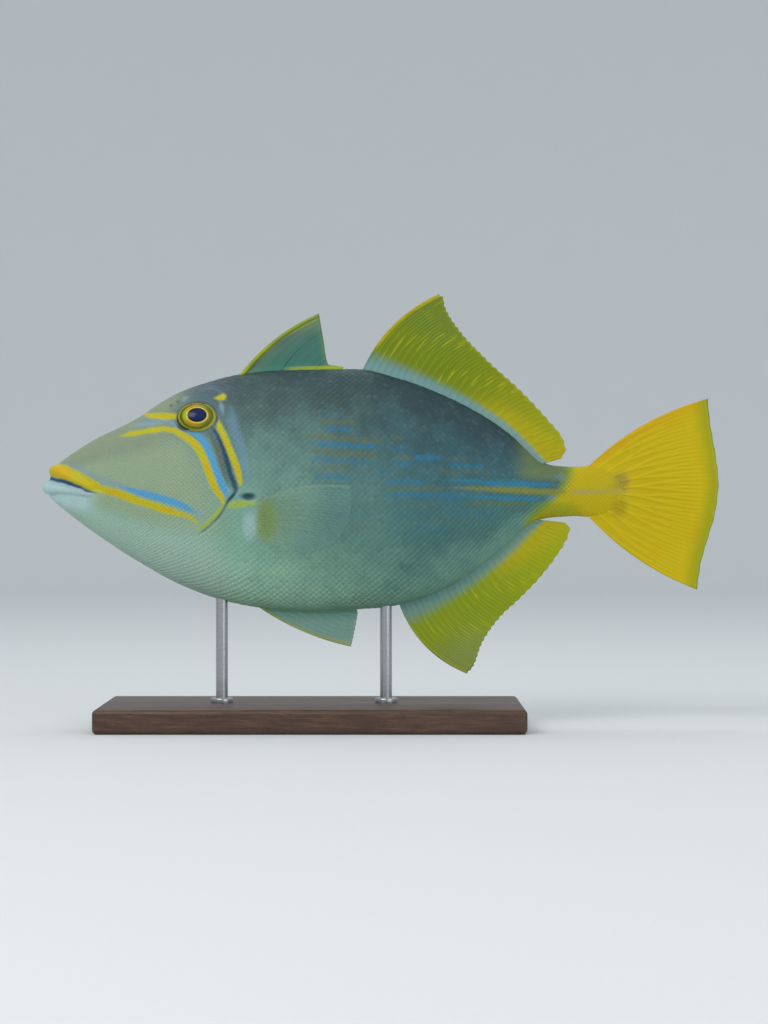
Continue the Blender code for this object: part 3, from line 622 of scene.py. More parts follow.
def bare(places):
    """Where the head has no scales: lips, eyes, nostrils and round the gill opening."""
    lips = [[(place[0], place[2], place[3]) for place in line] for line in (UPPER_LIP, LOWER_LIP)]
    found = painted(lips, places[:, 0], places[:, 2]) > -0.9
    found |= np.hypot((places[:, 0] - EYE[0]) / 11.4, (places[:, 2] - EYE[1]) / 9.2) < 1
    along, up = seen(places)
    for nostril in NOSTRILS:
        found |= np.hypot(along - nostril[0], up - nostril[1]) < 2
    found |= np.hypot((along - GILL_OPENING[0]) / 6, (up - GILL_OPENING[1]) / 3.2) < 1
    return found | (line_distance(GILL_COVER_EDGE, along, up)[0] < 1)


def scale_sites(on_head, span):
    """Places of one side's scales in that span along the fish, in staggered columns: (along, turn from
    the side's middle, distance from it over the skin, half size, distance behind the front edge of
    the large scales)."""
    sites = []
    along = 15.0
    column = 0
    turns = np.linspace(-pi / 2, pi / 2, 361)
    while along < 288:
        size = float(0.72 + 0.9 * ease(30, 116, along) - 0.5 * ease(175, 288, along))
        ring = body_point(np.full(turns.shape, along), turns, SCALE_DEPTH)
        arc = np.concatenate([[0], np.cumsum(np.linalg.norm(np.diff(ring, axis=0), axis=1))])
        arc -= np.interp(0, turns, arc)
        places = (np.arange(-70, 71) + 0.5 * (column % 2)) * SCALES_ASIDE * size
        places = places[(places > arc[0] + 0.3) & (places < arc[-1] - 0.3)]
        at = np.interp(places, arc, turns)
        spots = body_point(np.full(at.shape, along), at, SCALE_DEPTH)
        away, side, _ = line_distance(SCALES_FRONT, spots[:, 0], spots[:, 2])
        depth = np.where(side > 0, -away, away)
        chosen = (depth <= 0) & ~bare(spots) if on_head else depth > 0
        chosen &= span[0] <= along < span[1]
        sites += [(along, turn, place, size, behind)
                  for turn, place, behind in zip(at[chosen], places[chosen], depth[chosen])]
        along += size
        column += 1
    return np.array(sites)


def make_scales(name, side, on_head, span, nodes, material, skin_surface):
    """Rounded diamond plates that lie close together, each with its rear half a little raised. They
    are small and flat on the head, large on the flank, and sink into the skin on the tail's root."""
    along, turn, arc, size, depth = scale_sites(on_head, span).T
    count = len(along)
    luck = np.random.default_rng(7 if side < 0 else 8)
    corners = 8 if on_head else 12
    around = np.arange(corners) * 2 * pi / corners
    reach = (np.abs(np.cos(around)) ** 1.25 + np.abs(np.sin(around)) ** 1.25) ** (-1 / 1.25)
    ring = np.stack([reach * np.cos(around), reach * np.sin(around)], 1)
    parts = HEAD_SCALE if on_head else BODY_SCALE
    peak = 0.13 if on_head else 0.16
    local = np.concatenate([ring * part for part, _, _ in parts] + [[[0.0, 0.0]]])
    rise = np.concatenate([np.full(corners, height) for _, height, _ in parts] + [[peak]])
    tilt = np.concatenate([np.full(corners, share) for _, _, share in parts] + [[0.2]])
    grown = ease(-3, 12, depth) * (1 - 0.85 * ease(236, 276, along))
    last = 1 - 0.4 * ease(274, 288, along)
    half = size * (0.86 + 0.12 * grown) * last * (1 + luck.uniform(-0.05, 0.05, count))
    offset = local[None] * half[:, None, None] * (1, 0.97)
    lift = (rise + 0.04 * tilt * local[:, 0])[None] * (0.3 + 0.6 * grown)[:, None]
    lift = lift * (1 + luck.uniform(-0.2, 0.2, (count, 1))) - 0.12 * (rise == 0)
    # On the body, a step over the skin is a step in turn at the scale's own place
    here = body_point(along, turn, SCALE_DEPTH)
    per_turn = np.linalg.norm(body_point(along, turn + 0.01, SCALE_DEPTH) - here, axis=1) / 0.01
    new_along = along[:, None] + offset[:, :, 0]
    new_turn = np.clip(turn[:, None] + offset[:, :, 1] / per_turn[:, None], -pi / 2, pi / 2)
    foot = body_point(new_along, new_turn, SCALE_DEPTH)
    ahead = body_point(new_along + 0.2, new_turn, SCALE_DEPTH) - foot
    across = (body_point(new_along, new_turn + 0.01, SCALE_DEPTH)
              - body_point(new_along, new_turn - 0.01, SCALE_DEPTH))
    normal = np.cross(across, ahead)
    normal /= np.maximum(np.linalg.norm(normal, axis=-1, keepdims=True), 1e-9)
    foot = to_world((foot * (1, side, 1)).reshape(-1, 3))
    foot = np.array([skin_surface.find_nearest(spot)[0] for spot in foot.tolist()])
    places = (normal * lift[..., None] * (1, side, 1)).reshape(-1, 3) + foot / MM + (MIDDLE, 0, -AXIS_HEIGHT)
    first = np.arange(corners)
    following = (first + 1) % corners
    band = np.stack([first, following, following + corners, first + corners], 1)
    quads = np.concatenate([band + corners * part for part in range(len(parts) - 1)])
    tips = np.stack([first, following, np.full(corners, corners)], 1) + corners * (len(parts) - 1)
    if side > 0:
        quads = quads[:, ::-1]
        tips = tips[:, ::-1]
    starts = (np.arange(count) * len(local))[:, None, None]
    faces = (quads[None] + starts).reshape(-1, 4).tolist() + (tips[None] + starts).reshape(-1, 3).tolist()
    scales = mesh_piece(name, to_world(places), faces)
    scales.data.shade_smooth()
    paint(scales, places)
    cloud = np.sin(along * 0.31 + arc * 0.12) * np.sin(arc * 0.27 - along * 0.09)
    tint = 0.5 + (0.16 * cloud + luck.normal(0, 0.2, count)) * (0.35 if on_head else 1)
    store(scales, "tint", np.repeat(np.clip(tint, 0, 1), len(local)))
    store(scales, "edge", np.tile(np.clip(1.6 - rise * 12, 0, 1), count) * (0.08 if on_head else 1))
    # Each scale is a small patch at its own place on the skin's unwrap
    middle = np.stack([along / UNWRAP_WIDTH, 0.5 + arc / UNWRAP_WIDTH], 1)
    unwrap = middle[:, None] + local[None] * BAKE_PATCH / 2
    found = np.empty(len(scales.data.loops), np.int32)
    scales.data.loops.foreach_get("vertex_index", found)
    uv_map = scales.data.uv_layers.new(name="OFBake")
    uv_map.data.foreach_set("uv", unwrap.reshape(-1, 2)[found].astype(np.float32).ravel())
    hand_over(scales, name, material, nodes)


# Fins

def fan(root, margin, crowding, first_bow, last_bow, notch):
    """place(u, v, tip) of a fin: u goes from its first ray to its last, v from root to margin, and
    tip is 1 on a ray. crowding shifts the tips along the margin, the bows bend the end rays, and the
    skin between two rays falls short of their tips by notch."""
    def place(u, v, tip):
        start = root(u)
        reach = margin(u - crowding * np.sin(pi * u)) - start
        length = np.linalg.norm(reach, axis=-1)
        reach = reach * (1 - notch * (1 - tip) / np.maximum(length, 8))[..., None]
        bow = (first_bow * (1 - u) + last_bow * u) * 4 * v * (1 - v)
        normal = np.stack([-reach[..., 1], reach[..., 0]], -1) / np.maximum(length, 1e-6)[..., None]
        return start + reach * v[..., None] + normal * bow[..., None], length
    return place


def on_outline(outline, first, last):
    def root(u):
        along = first + (last - first) * u
        return np.stack([along, smooth(outline, along)], -1)
    return root


def round_tail(u):
    """Root of the tail fin, round the end of the flesh."""
    turn = pi / 2 * (1 - 2 * u)
    top = float(smooth(BACK, TAIL_ROOT))
    bottom = float(smooth(BELLY, TAIL_ROOT))
    return np.stack([TAIL_ROOT + (FLESH_END - TAIL_ROOT) * np.cos(turn),
                     (top + bottom) / 2 + (top - bottom) / 2 * np.sin(turn)], -1)


def line_at(points):
    return lambda share: on_line(points, share)


def crest(ray, v, forks, width):
    """1 on a ray's crest and 0 on the skin between rays. A ray forks at these shares of its length."""
    away = np.abs(ray - np.round(ray))
    spread = 0.25
    for fork in forks:
        away = np.abs(away - spread * ease(fork, min(fork + 0.35, 1), v))
        spread /= 2
    return np.exp(-(away / (width * (1 - 0.62 * v))) ** 2)


def soft_rays(count, forks, width, skin, rays, leading, middle=0):
    """Half thickness of a fin with soft rays, how much of a ray each place is, and the ray's number.
    skin and rays are heights at root and margin, and leading and middle strengthen those rays."""
    def thickness(u, v, spread):
        ray = u * (count - 1)
        on_ray = crest(ray, v, forks, width)
        strong = 1 + (leading - 1) * np.exp(-(ray / 0.45) ** 2) + middle * np.exp(-((u - 0.48) / 0.2) ** 2)
        height = (rays[0] + (rays[1] - rays[0]) * v) * on_ray * strong
        return skin[0] + (skin[1] - skin[0]) * np.clip(3 * v, 0, 1) + height, on_ray, ray
    return thickness


def spines(u, v, spread):
    """The same for the first fin, with its three spines. spread is the root's width at v."""
    height = np.zeros(u.shape)
    on_ray = np.zeros(u.shape)
    for place, root, tip, shows in SPINES:
        radius = root + (tip - root) * v
        middle = radius if place == 0 else place * spread
        away = np.abs(u * spread - middle) / radius
        height = np.maximum(height, radius * np.sqrt(np.clip(1 - away ** 2, 0, 1)))
        on_ray = np.maximum(on_ray, shows * (1 - ease(0.75, 1.15, away)))
    pleat = 0.06 * np.sin(u * 60) * ease(0, 0.3, v) * (1 - on_ray)
    return 0.5 - 0.26 * np.clip(3 * v, 0, 1) + pleat + height, on_ray, np.zeros(u.shape)


def make_fin(name, place, thickness, columns, rows, sunk, flare, wave, material, node, shift=None):
    """A fin as one closed sheet: one face is shaped from a grid and mirrored. It starts sunk mm
    inside the body, where it is flare mm thicker, wave sways its margin to the sides, and shift
    moves it off the middle plane."""
    deselect()
    bpy.ops.mesh.primitive_grid_add(x_subdivisions=columns, y_subdivisions=rows, size=2)
    fin = bpy.context.object
    flat = points_of(fin)
    u = np.clip((flat[:, 0] + 1) / 2, 0, 1)
    v = np.clip((flat[:, 1] + 1) / 2, 0, 1) ** 0.9
    on = np.ones(u.shape)
    _, length = place(u, on, on)
    low = np.clip(u - 0.002, 0, 1)
    high = np.clip(u + 0.002, 0, 1)
    spread = np.linalg.norm(place(high, v, on)[0] - place(low, v, on)[0], axis=1) / (high - low)
    half, on_ray, ray = thickness(u, v, spread)
    reach = v * (1 + sunk / length) - sunk / length
    spots, _ = place(u, reach, 0.5 + 0.5 * np.cos(2 * pi * ray))
    from_edge = np.minimum(np.minimum(u, 1 - u) * columns, (1 - flat[:, 1]) / 2 * rows)
    half *= np.sqrt(np.clip(from_edge / 1.5, 0, 1))
    half += flare * np.exp(-np.clip(reach * length, 0, None) / 0.9) * (from_edge > 0.5)
    half[(from_edge < 0.5) | (flat[:, 1] < -0.9999)] = 0
    set_points(fin, np.stack([spots[:, 0], half, spots[:, 1]], 1))
    reach = np.clip(reach, 0, 1)
    store(fin, "share", u)
    store(fin, "out", reach)
    store(fin, "from_root", reach * length)
    store(fin, "from_margin", (1 - reach) * length)
    store(fin, "from_front", u * spread)
    store(fin, "on_ray", on_ray)
    lit = 0.5 + 0.5 * np.sin(ray * 2.4 + 0.7) * np.sin(v * 8 + ray * 1.7)
    store(fin, "streak", on_ray * ease(0.55, 0.97, lit))
    store(fin, "tip", ease(0.4, 0.95, v) * (1 - ease(0.1, 0.5, u)))
    store(fin, "front_edge", (1 - ease(1.1, 2.2, u * spread)) * ease(0.12, 0.32, reach))
    # A fin without a flare fades into the skin at its foot
    store(fin, "rooted", np.ones(u.shape) if flare else ease(1, 11, reach * length))
    store(fin, "rear_root", (1 - ease(0.9, 2, reach * length)) * ease(0.35, 0.6, u))
    store(fin, "rear_end", ease(0.6, 1, u + 0.15 * np.sin(v * 5)))
    paint_tail_root(fin, spots[:, 0], spots[:, 1])
    apply_modifier(fin, "MIRROR", use_axis=(False, True, False), use_mirror_merge=True,
                   merge_threshold=0.0005)
    point_normals_out(fin)
    spots = points_of(fin)
    u = stored(fin, "share")
    out = stored(fin, "out")
    spots[:, 1] += wave * out ** 2 * np.sin(2 * pi * (1.4 * u + 0.1))
    if shift:
        spots = shift(spots, u, out)
    set_points(fin, to_world(spots))
    fin.data.shade_smooth()
    hand_over(fin, name, material, [node])


def make_fins(finishes):
    fine = 13
    rows = 56
    make_fin("first_dorsal",
             fan(on_outline(BACK, *SPINE_FIN_ROOT), line_at(SPINE_FIN_MARGIN), 0.12, 3.3, 0, 0),
             spines, 260, rows, 2.5, 1.1, 0.0, finishes["spiny"], "first_dorsal_fin")
    make_fin("second_dorsal",
             fan(on_outline(BACK, *SOFT_DORSAL_ROOT), line_at(SOFT_DORSAL_MARGIN), 0.09, 5.0, 0, 0.5),
             soft_rays(SOFT_DORSAL_RAYS, (0.3, 0.62), 0.2, (0.55, 0.2), (0.26, 0.12), 2.4),
             SOFT_DORSAL_RAYS * fine, rows, 2.5, 1.1, 1.0, finishes["dorsal"],
             "second_dorsal_fin")
    make_fin("anal", fan(on_outline(BELLY, *ANAL_ROOT), line_at(ANAL_MARGIN), 0.09, -5.2, 0, 0.5),
             soft_rays(ANAL_RAYS, (0.3, 0.62), 0.2, (0.55, 0.2), (0.26, 0.12), 2.4),
             ANAL_RAYS * fine, rows, 2.5, 1.1, -1.0, finishes["anal"], "anal_fin")
    make_fin("pelvic", fan(on_outline(BELLY, *PELVIC_ROOT), line_at(PELVIC_MARGIN), 0.1, -2.4, 0, 0.3),
             soft_rays(PELVIC_RAYS, (0.45,), 0.16, (0.8, 0.25), (0.14, 0.08), 7),
             PELVIC_RAYS * 14, rows, 2.5, 1.1, 0.0, finishes["pale"], "pelvic_flap")
    make_fin("tail", fan(round_tail, line_at(TAIL_MARGIN), 0, 4.4, -3.8, 0.25),
             soft_rays(TAIL_RAYS, (0.12, 0.36, 0.62), 0.16, (0.6, 0.2), (0.26, 0.08), 1.5, 0.8),
             TAIL_RAYS * (28), rows, 5, 0.5, 0.8, finishes["golden"],
             "tail_fin")
    flat = fan(line_at(PECTORAL_ROOT), line_at(PECTORAL_MARGIN), 0.0, 4.0, -0.5, 0.3)
    for name, side in SIDES:
        def stand_off(spots, u, out, side=side):
            off = PECTORAL_STANDS_OFF * (1 - (1 - out) ** 1.5) + 0.9 - 1.9 * (1 - ease(0, 0.22, out))
            spots[:, 1] += side * (body_side(spots[:, 0], spots[:, 2]) + off + 0.8 * out * np.sin(2 * pi * u))
            return spots
        make_fin("pectoral_" + name, flat,
                 soft_rays(PECTORAL_RAYS, (0.35, 0.68), 0.2, (0.7, 0.15), (0.08, 0.1), 1.8),
                 PECTORAL_RAYS * fine, rows, 1.0, 0.0, 0.0, finishes["clear"],
                 "pectoral_fin_" + name, stand_off)


# Eyes

def make_eye(name, side, material):
    ball = eyeball(side, EYE_SUNK, EYE_RADII, 96, 64)
    places = points_of(ball)
    centre = eye_centre(side, EYE_SUNK)
    along = places[:, 0] - EYE[0] - PUPIL_BACK
    out = (places[:, 1] - centre[1]) * side * cos(EYE_TILT) + (places[:, 2] - centre[2]) * sin(EYE_TILT)
    up = (places[:, 2] - centre[2]) * cos(EYE_TILT) - (places[:, 1] - centre[1]) * side * sin(EYE_TILT)
    away = np.hypot(along / PUPIL_RADII[0], up / PUPIL_RADII[1])
    store(ball, "from_pupil", np.where(out > 0, away, 3))
    # Share of the way to the front, and of the way up or down, for the iris's amber, lime and olive
    forward = -along / PUPIL_RADII[0] / np.maximum(away, 0.1)
    upright = np.abs(up + 0.1) / PUPIL_RADII[1] / np.maximum(away, 0.1)
    on_iris = ease(1.0, 1.2, away) * (1 - ease(1.4, 1.62, away))
    store(ball, "amber", ease(0.25, 0.8, upright) * ease(-0.5, 0.45, forward) * on_iris)
    store(ball, "lime", ease(0.72, 0.97, forward) * on_iris)
    store(ball, "olive", ease(0.1, 0.85, -forward) * ease(1.1, 1.3, away))
    store(ball, "round", np.abs(np.arctan2(up, along)) * 3 + np.sign(up) * 20)
    set_points(ball, to_world(places))
    ball.data.shade_smooth()
    hand_over(ball, "eyeball_" + name, material, ["eye_" + name])


# Stand

def finish_stand_piece(piece):
    """Turns its millimetres to metres and shades it smooth between its edges."""
    piece.data.transform(Matrix.Diagonal((MM, MM, MM, 1)))
    select_only(piece)
    bpy.ops.object.shade_smooth_by_angle(angle=radians(30))


def make_base(material):
    deselect()
    bpy.ops.mesh.primitive_cube_add(size=1, location=(BASE_CENTRE, 0, BASE_SIZE[2] / 2))
    base = bpy.context.object
    base.scale = BASE_SIZE
    sink_into_mesh(base)
    apply_modifier(base, "BEVEL", width=2.4, segments=8, limit_method="ANGLE", angle_limit=radians(40))
    finish_stand_piece(base)
    hand_over(base, "stand_board", material, ["stand_base"])


def upright(radius, foot, top, along):
    """A plain upright bar at that distance along the fish."""
    deselect()
    bpy.ops.mesh.primitive_cylinder_add(vertices=64, radius=radius, depth=top - foot,
                                        location=(along - MIDDLE, 0, (top + foot) / 2))
    bar = bpy.context.object
    sink_into_mesh(bar)
    return bar


def make_rods(material):
    """Rods up to the belly, each in a turned collar that is let into the base."""
    for name, along in ROD_PLACES.items():
        belly = AXIS_HEIGHT + float(smooth(BELLY, along))
        rod = upright(ROD_RADIUS, BASE_SIZE[2] - ROD_IN_BASE, belly + ROD_IN_BELLY, along)
        collar = upright(COLLAR_RADIUS, BASE_SIZE[2] - COLLAR_IN_BASE, BASE_SIZE[2] + COLLAR_HEIGHT, along)
        apply_modifier(collar, "BEVEL", width=0.8, segments=4, limit_method="ANGLE", angle_limit=radians(40))
        boolean(rod, collar, "UNION")
        finish_stand_piece(rod)
        hand_over(rod, f"stand_{name}_rod", material, ["stand_rod_" + name])


# Materials

def colour(code):
    """Linear colour of an sRGB hex value."""
    parts = [int(code[i:i + 2], 16) / 255 for i in (1, 3, 5)]
    return [p / 12.92 if p <= 0.04045 else ((p + 0.055) / 1.055) ** 2.4 for p in parts] + [1]


def add(tree, kind, settings, links):
    """Adds a node and gives back its outputs. Settings are its options and its inputs' values, and
    links are the sockets that feed it."""
    node = tree.nodes.new("ShaderNode" + kind)
    for name, value in settings.items():
        if isinstance(name, str) and hasattr(node, name):
            setattr(node, name, value)
        else:
            node.inputs[name].default_value = value
    for name, source in links.items():
        tree.links.new(source, node.inputs[name])
    return node.outputs


def scale_of(size):
    """The scale that makes a pattern's cells this many millimetres wide."""
    return 1 / (size * MM)


def new_material(name):
    material = bpy.data.materials.new(name)
    material.use_nodes = True
    return material, material.node_tree, material.node_tree.nodes["Principled BSDF"]


# Tones laid over the flesh in turn: where, the values between which it fades in, how much, colour
FLESH_LAYERS = [
    ("cheek", 0, 1, 0.9, "#8fa284"), ("chin", 0, 1, 0.85, "#99b5a8"),
    ("crown", 0, 1, 0.92, "#87957c"), ("brow", 0, 1, 0.55, "#566470"),
    ("eye_socket", 0, 1, 0.5, "#5c7077"), ("lower_lip", 0, 1, 0.75, "#acc8cd"),
    ("fin_shoulder", 0, 1, 0.6, "#9fbabd"), ("fin_root", 0, 1, 0.8, "#849c58"),
    ("fine", 0.54, 0.8, 0.08, "#3d4f52"), ("fine", 0.44, 0.2, 0.06, "#b4c4ba")]
MARKING_LAYERS = [
    ("olive_dash", 0, 1, 0.9, "#646c44"), ("blue_dash", 0, 1, 1.0, "#25749a"),
    ("stalk_top", 0, 1, 0.6, "#738450"), ("stalk", 0, 0.75, 0.95, "#869528"),
    # low_stalk_olive_and_shade: the lower stalk's darker olive, partly painted shade
    ("stalk", 0.55, 1, 1.0, "#b6a305"), ("low_stalk_olive_and_shade", 0, 1, 0.5, "#7a9020"),
    ("stalk_stripe", 0, 1, 0.6, "#9a8f6c"), ("grey_patch", 0, 1, 0.65, "#85783a"),
    ("olive_patch", 0, 1, 0.5, "#8a7f18"), ("lilac", -1.6, 2, 0.45, "#6d8fb0"),
    ("pale_blue", -0.9, 1.1, 0.75, "#7b9db0"), ("teal", -1, 1.3, 0.6, "#3c6a76"),
    ("blue", -0.9, 1, 0.95, "#4d96c2"), ("rear_blue", -1.2, 1.2, 0.9, "#2b7b9c"),
    ("gold", -1.2, 1.3, 0.9, "#83842a"), ("brown", -0.9, 1, 0.7, "#64604c"),
    # dark: the face's dark lines, and painted shade in the gill opening
    ("green", -0.9, 1, 0.9, "#98ad4a"), ("dark", -0.7, 0.9, 0.9, "#1f3f56"),
    ("yellow", -0.9, 0.9, 1.0, "#b3b01c"), ("orange", 0, 1, 0.7, "#cc9a0e"),
    # mouth: painted shade in the slit between the lips
    ("mouth", -0.5, 0.6, 0.95, "#25396a"), ("eye_outline", 0, 1, 0.5, "#2b3c44"),
    ("eye_rim", 0, 1, 1.0, "#70731c"), ("eye_crest", 0, 1, 0.5, "#adb04c")]
# Between these two on the scales: each one's own tone, and the dark joints between them
SCALE_LAYERS = [("tint", 0.5, 0, 0.13, "#22343a"), ("tint", 0.5, 1, 0.07, "#8fa8a2"),
                ("edge", 0, 1, 0.17, "#24383e")]


def flesh_material(name, scaled):
    """Wet fish skin: satin, darker above than below, with a fine grain and crisp face lines. Its palest
    tone, on the belly's keel, is painted light that offsets the shade under the belly. The scales
    have it too, each with its own tone, and dark in the joints between them."""
    material, tree, shader = new_material(name)
    place = add(tree, "TexCoord", {}, {})["Object"]
    layers = FLESH_LAYERS + (SCALE_LAYERS if scaled else []) + MARKING_LAYERS
    sources = {"fine": add(tree, "TexNoise", {"Scale": scale_of(1.613), "Detail": 3}, {"Vector": place})[0]}
    for key in dict.fromkeys(["level", "rear"] + [layer[0] for layer in layers if layer[0] != "fine"]):
        sources[key] = add(tree, "Attribute", {"attribute_name": key}, {})["Fac"]
    cloud = add(tree, "TexNoise", {"Scale": scale_of(14.286), "Detail": 3}, {"Vector": place})[0]
    uneven = add(tree, "MapRange", {"From Min": 0.3, "From Max": 0.7, "To Min": -0.14, "To Max": 0.14},
                 {"Value": cloud})[0]
    level = add(tree, "Math", {"operation": "ADD"}, {0: sources["level"], 1: uneven})[0]
    height = add(tree, "MapRange", {"From Min": -1, "From Max": 1}, {"Value": level})[0]
    ends = []
    # Tones from the belly's keel up to the back, in front and behind: the fish's own countershading, except
    # that the first, palest tone at the keel is painted light, lighter than the skin to offset the shade that
    # falls under the belly
    for tones in (["#9ac3a5", "#7fac97", "#6f9487", "#597973", "#3f5655", "#374d4d"],
                  ["#6f9989", "#46716b", "#3d6a70", "#375b62", "#30484e", "#293f44"]):
        ramp = tree.nodes.new("ShaderNodeValToRGB")
        tree.links.new(height, ramp.inputs[0])
        stops = ramp.color_ramp.elements
        stops[0].color = colour(tones[0])
        stops[1].color = colour(tones[-1])
        for position, tone in zip((0.25, 0.5, 0.7, 0.88), tones[1:-1]):
            stops.new(position).color = colour(tone)
        ends.append(ramp.outputs[0])
    base = add(tree, "Mix", {"data_type": "RGBA"}, {0: sources["rear"], 6: ends[0], 7: ends[1]})[2]
    for key, low, high, amount, tone in layers:
        mask = add(tree, "MapRange", {"interpolation_type": "SMOOTHSTEP", "From Min": low, "From Max": high,
                                      "To Max": amount}, {"Value": sources[key]})[0]
        base = add(tree, "Mix", {"data_type": "RGBA", 7: colour(tone)}, {0: mask, 6: base})[2]
    tree.links.new(base, shader.inputs["Base Color"])
    gloss = add(tree, "MapRange", {"From Min": 0.3, "From Max": 0.7, "To Min": 0.36, "To Max": 0.5},
                {"Value": sources["fine"]})[0]
    tree.links.new(gloss, shader.inputs["Roughness"])
    shader.inputs["IOR"].default_value = 1.36
    shader.inputs["Specular IOR Level"].default_value = 0.28
    shader.inputs["Coat Weight"].default_value = 0.04
    shader.inputs["Coat Roughness"].default_value = 0.3
    # Tubercles 0.8 mm apart, coarser than real ones so that they show
    cells = add(tree, "TexVoronoi", {"Scale": scale_of(0.8)}, {"Vector": place})["Distance"]
    bump = add(tree, "Bump", {"Strength": 0.35, "Distance": 0.00012}, {"Height": cells})
    tree.links.new(bump[0], shader.inputs["Normal"])
    return material


# Each fin's finish: its name, base tone, tones laid over it in turn as for the flesh, and how opaque
# its skin, its tip and its rays are
FIN_FINISHES = {
    "dorsal": (
        "yellow green dorsal fin with rays", "#6f8208",
        [("share", 0.35, 1.0, 0.85, "#a09f04"), ("tip", 0.0, 0.9, 0.6, "#5b7a26"),
         ("on_ray", 0.3, 1, 0.3, "#8e990e"), ("streak", 0.2, 1, 0.5, "#b5b310"),
         ("rear_end", 0, 1, 0.6, "#b5a404"), ("out", 0.22, 0.05, 0.9, "#6a9296"),
         ("front_edge", 0, 1, 0.8, "#bfae08"), ("from_margin", 1.4, 0.3, 0.35, "#adb02c"),
         ("cloud", 0.55, 0.75, 0.2, "#b79a10"), ("joint", 0.75, 0.9, 0.1, "#5d6410")], 0.92, 0.8, 0.96),
    "anal": (
        "yellow green anal fin with rays", "#839510",
        [("share", 0.4, 1.0, 0.85, "#9ca404"), ("tip", 0.0, 0.9, 0.5, "#76904e"),
         ("on_ray", 0.3, 1, 0.3, "#9ba40e"), ("streak", 0.2, 1, 0.5, "#b1b310"),
         ("rear_end", 0, 1, 0.75, "#afa306"), ("out", 0.28, 0.06, 0.9, "#67918f"),
         ("front_edge", 0, 1, 0.45, "#93a01c"), ("from_margin", 1.4, 0.3, 0.35, "#a5ac2c"),
         ("cloud", 0.55, 0.75, 0.2, "#8f8a10"), ("joint", 0.75, 0.9, 0.1, "#5d6410")], 0.9, 0.66, 0.96),
    "golden": (
        "golden tail fin with rays", "#bfa803",
        [("on_ray", 0.2, 1, 0.45, "#cbb50a"), ("cloud", 0.5, 0.75, 0.3, "#c9960a"),
         ("from_front", 6, 1, 0.5, "#cf9c06"), ("from_margin", 10, 0.5, 0.7, "#8a9408"),
         # The thin pale margin: the fin's own greenish edge, painted paler still as light against the shade
         # on the sheet's thick rim
         ("from_margin", 1.6, 0.3, 0.7, "#a4b33a"), ("stalk_stripe", 0, 1, 0.5, "#9a8f6c"),
         ("grey_patch", 0, 1, 0.65, "#85783a"), ("olive_patch", 0, 1, 0.5, "#8a7f18"),
         ("joint", 0.75, 0.9, 0.08, "#7d7408")], 0.95, 0.95, 0.98),
    "spiny": (
        "grey green skin on three spines", "#3f7567",
        [("from_front", 14, 3, 0.45, "#6a7c5c"), ("on_ray", 0.2, 1, 0.6, "#7f9040"),
         ("from_front", 3.6, 2.4, 1, "#97a31a"), ("tip", 0.3, 1, 0.45, "#6f8a4c"),
         ("from_margin", 3, 0.8, 0.3, "#7b9450"), ("rear_root", 0, 1, 0.85, "#97a31a"),
         ("cloud", 0.45, 0.75, 0.35, "#4c6468")], 0.84, 0.76, 0.92),
    "pale": (
        "pale grey flap with rays", "#679686",
        [("on_ray", 0.2, 1, 0.4, "#92b2ac"), ("from_front", 3.2, 1.9, 0.85, "#8f9c3c"),
         ("from_margin", 1.5, 0.4, 0.4, "#9db0a0"), ("joint", 0.75, 0.9, 0.08, "#4f6050")], 0.7, 0.62, 0.8),
    "clear": (
        "clear grey fin with rays", "#84a898",
        [("on_ray", 0.2, 1, 0.4, "#9ab29c"), ("from_root", 26, 12, 0.6, "#8ba478"),
         ("from_root", 14, 7, 0.85, "#849c54"), ("from_margin", 26, 5, 0.85, "#5b8884"),
         ("from_front", 1.8, 0.8, 0.5, "#a3b894"),
         ("joint", 0.75, 0.9, 0.08, "#5a6b60")], 0.16, 0.13, 0.3)}


def fin_material(name, base_tone, layers, skin_alpha, tip_alpha, ray_alpha):
    """Fin: thin skin that lets the light through, over firmer rays that are cross-barred every mm."""
    material, tree, shader = new_material(name)
    place = add(tree, "TexCoord", {}, {})["Object"]
    sources = {"cloud": add(tree, "TexNoise", {"Scale": scale_of(11.111), "Detail": 3}, {"Vector": place})[0]}
    for key in dict.fromkeys([layer[0] for layer in layers] + ["from_root", "on_ray", "tip", "rooted"]):
        if key not in ("cloud", "joint"):
            sources[key] = add(tree, "Attribute", {"attribute_name": key}, {})["Fac"]
    bars = add(tree, "Math", {"operation": "FRACT"}, {0: sources["from_root"]})[0]
    sources["joint"] = add(tree, "Math", {"operation": "MULTIPLY"}, {0: bars, 1: sources["on_ray"]})[0]
    base = None
    for key, low, high, amount, tone in layers:
        mask = add(tree, "MapRange", {"interpolation_type": "SMOOTHSTEP", "From Min": low, "From Max": high,
                                      "To Max": amount}, {"Value": sources[key]})[0]
        base = add(tree, "Mix", {"data_type": "RGBA", 6: colour(base_tone), 7: colour(tone)},
                   {0: mask, 6: base} if base else {0: mask})[2]
    tree.links.new(base, shader.inputs["Base Color"])
    clear = add(tree, "MapRange", {"interpolation_type": "SMOOTHSTEP", "From Min": 1, "From Max": 10,
                                   "To Min": 1.0, "To Max": skin_alpha}, {"Value": sources["from_root"]})[0]
    clear = add(tree, "Mix", {3: tip_alpha}, {0: sources["tip"], 2: clear})[0]
    clear = add(tree, "Mix", {3: ray_alpha}, {0: sources["on_ray"], 2: clear})[0]
    clear = add(tree, "Math", {"operation": "MULTIPLY"}, {0: clear, 1: sources["rooted"]})[0]
    tree.links.new(clear, shader.inputs["Alpha"])
    shader.inputs["Roughness"].default_value = 0.5
    shader.inputs["Specular IOR Level"].default_value = 0.18
    bump = add(tree, "Bump", {"Strength": 0.3, "Distance": 0.0001}, {"Height": sources["joint"]})
    tree.links.new(bump[0], shader.inputs["Normal"])
    return material


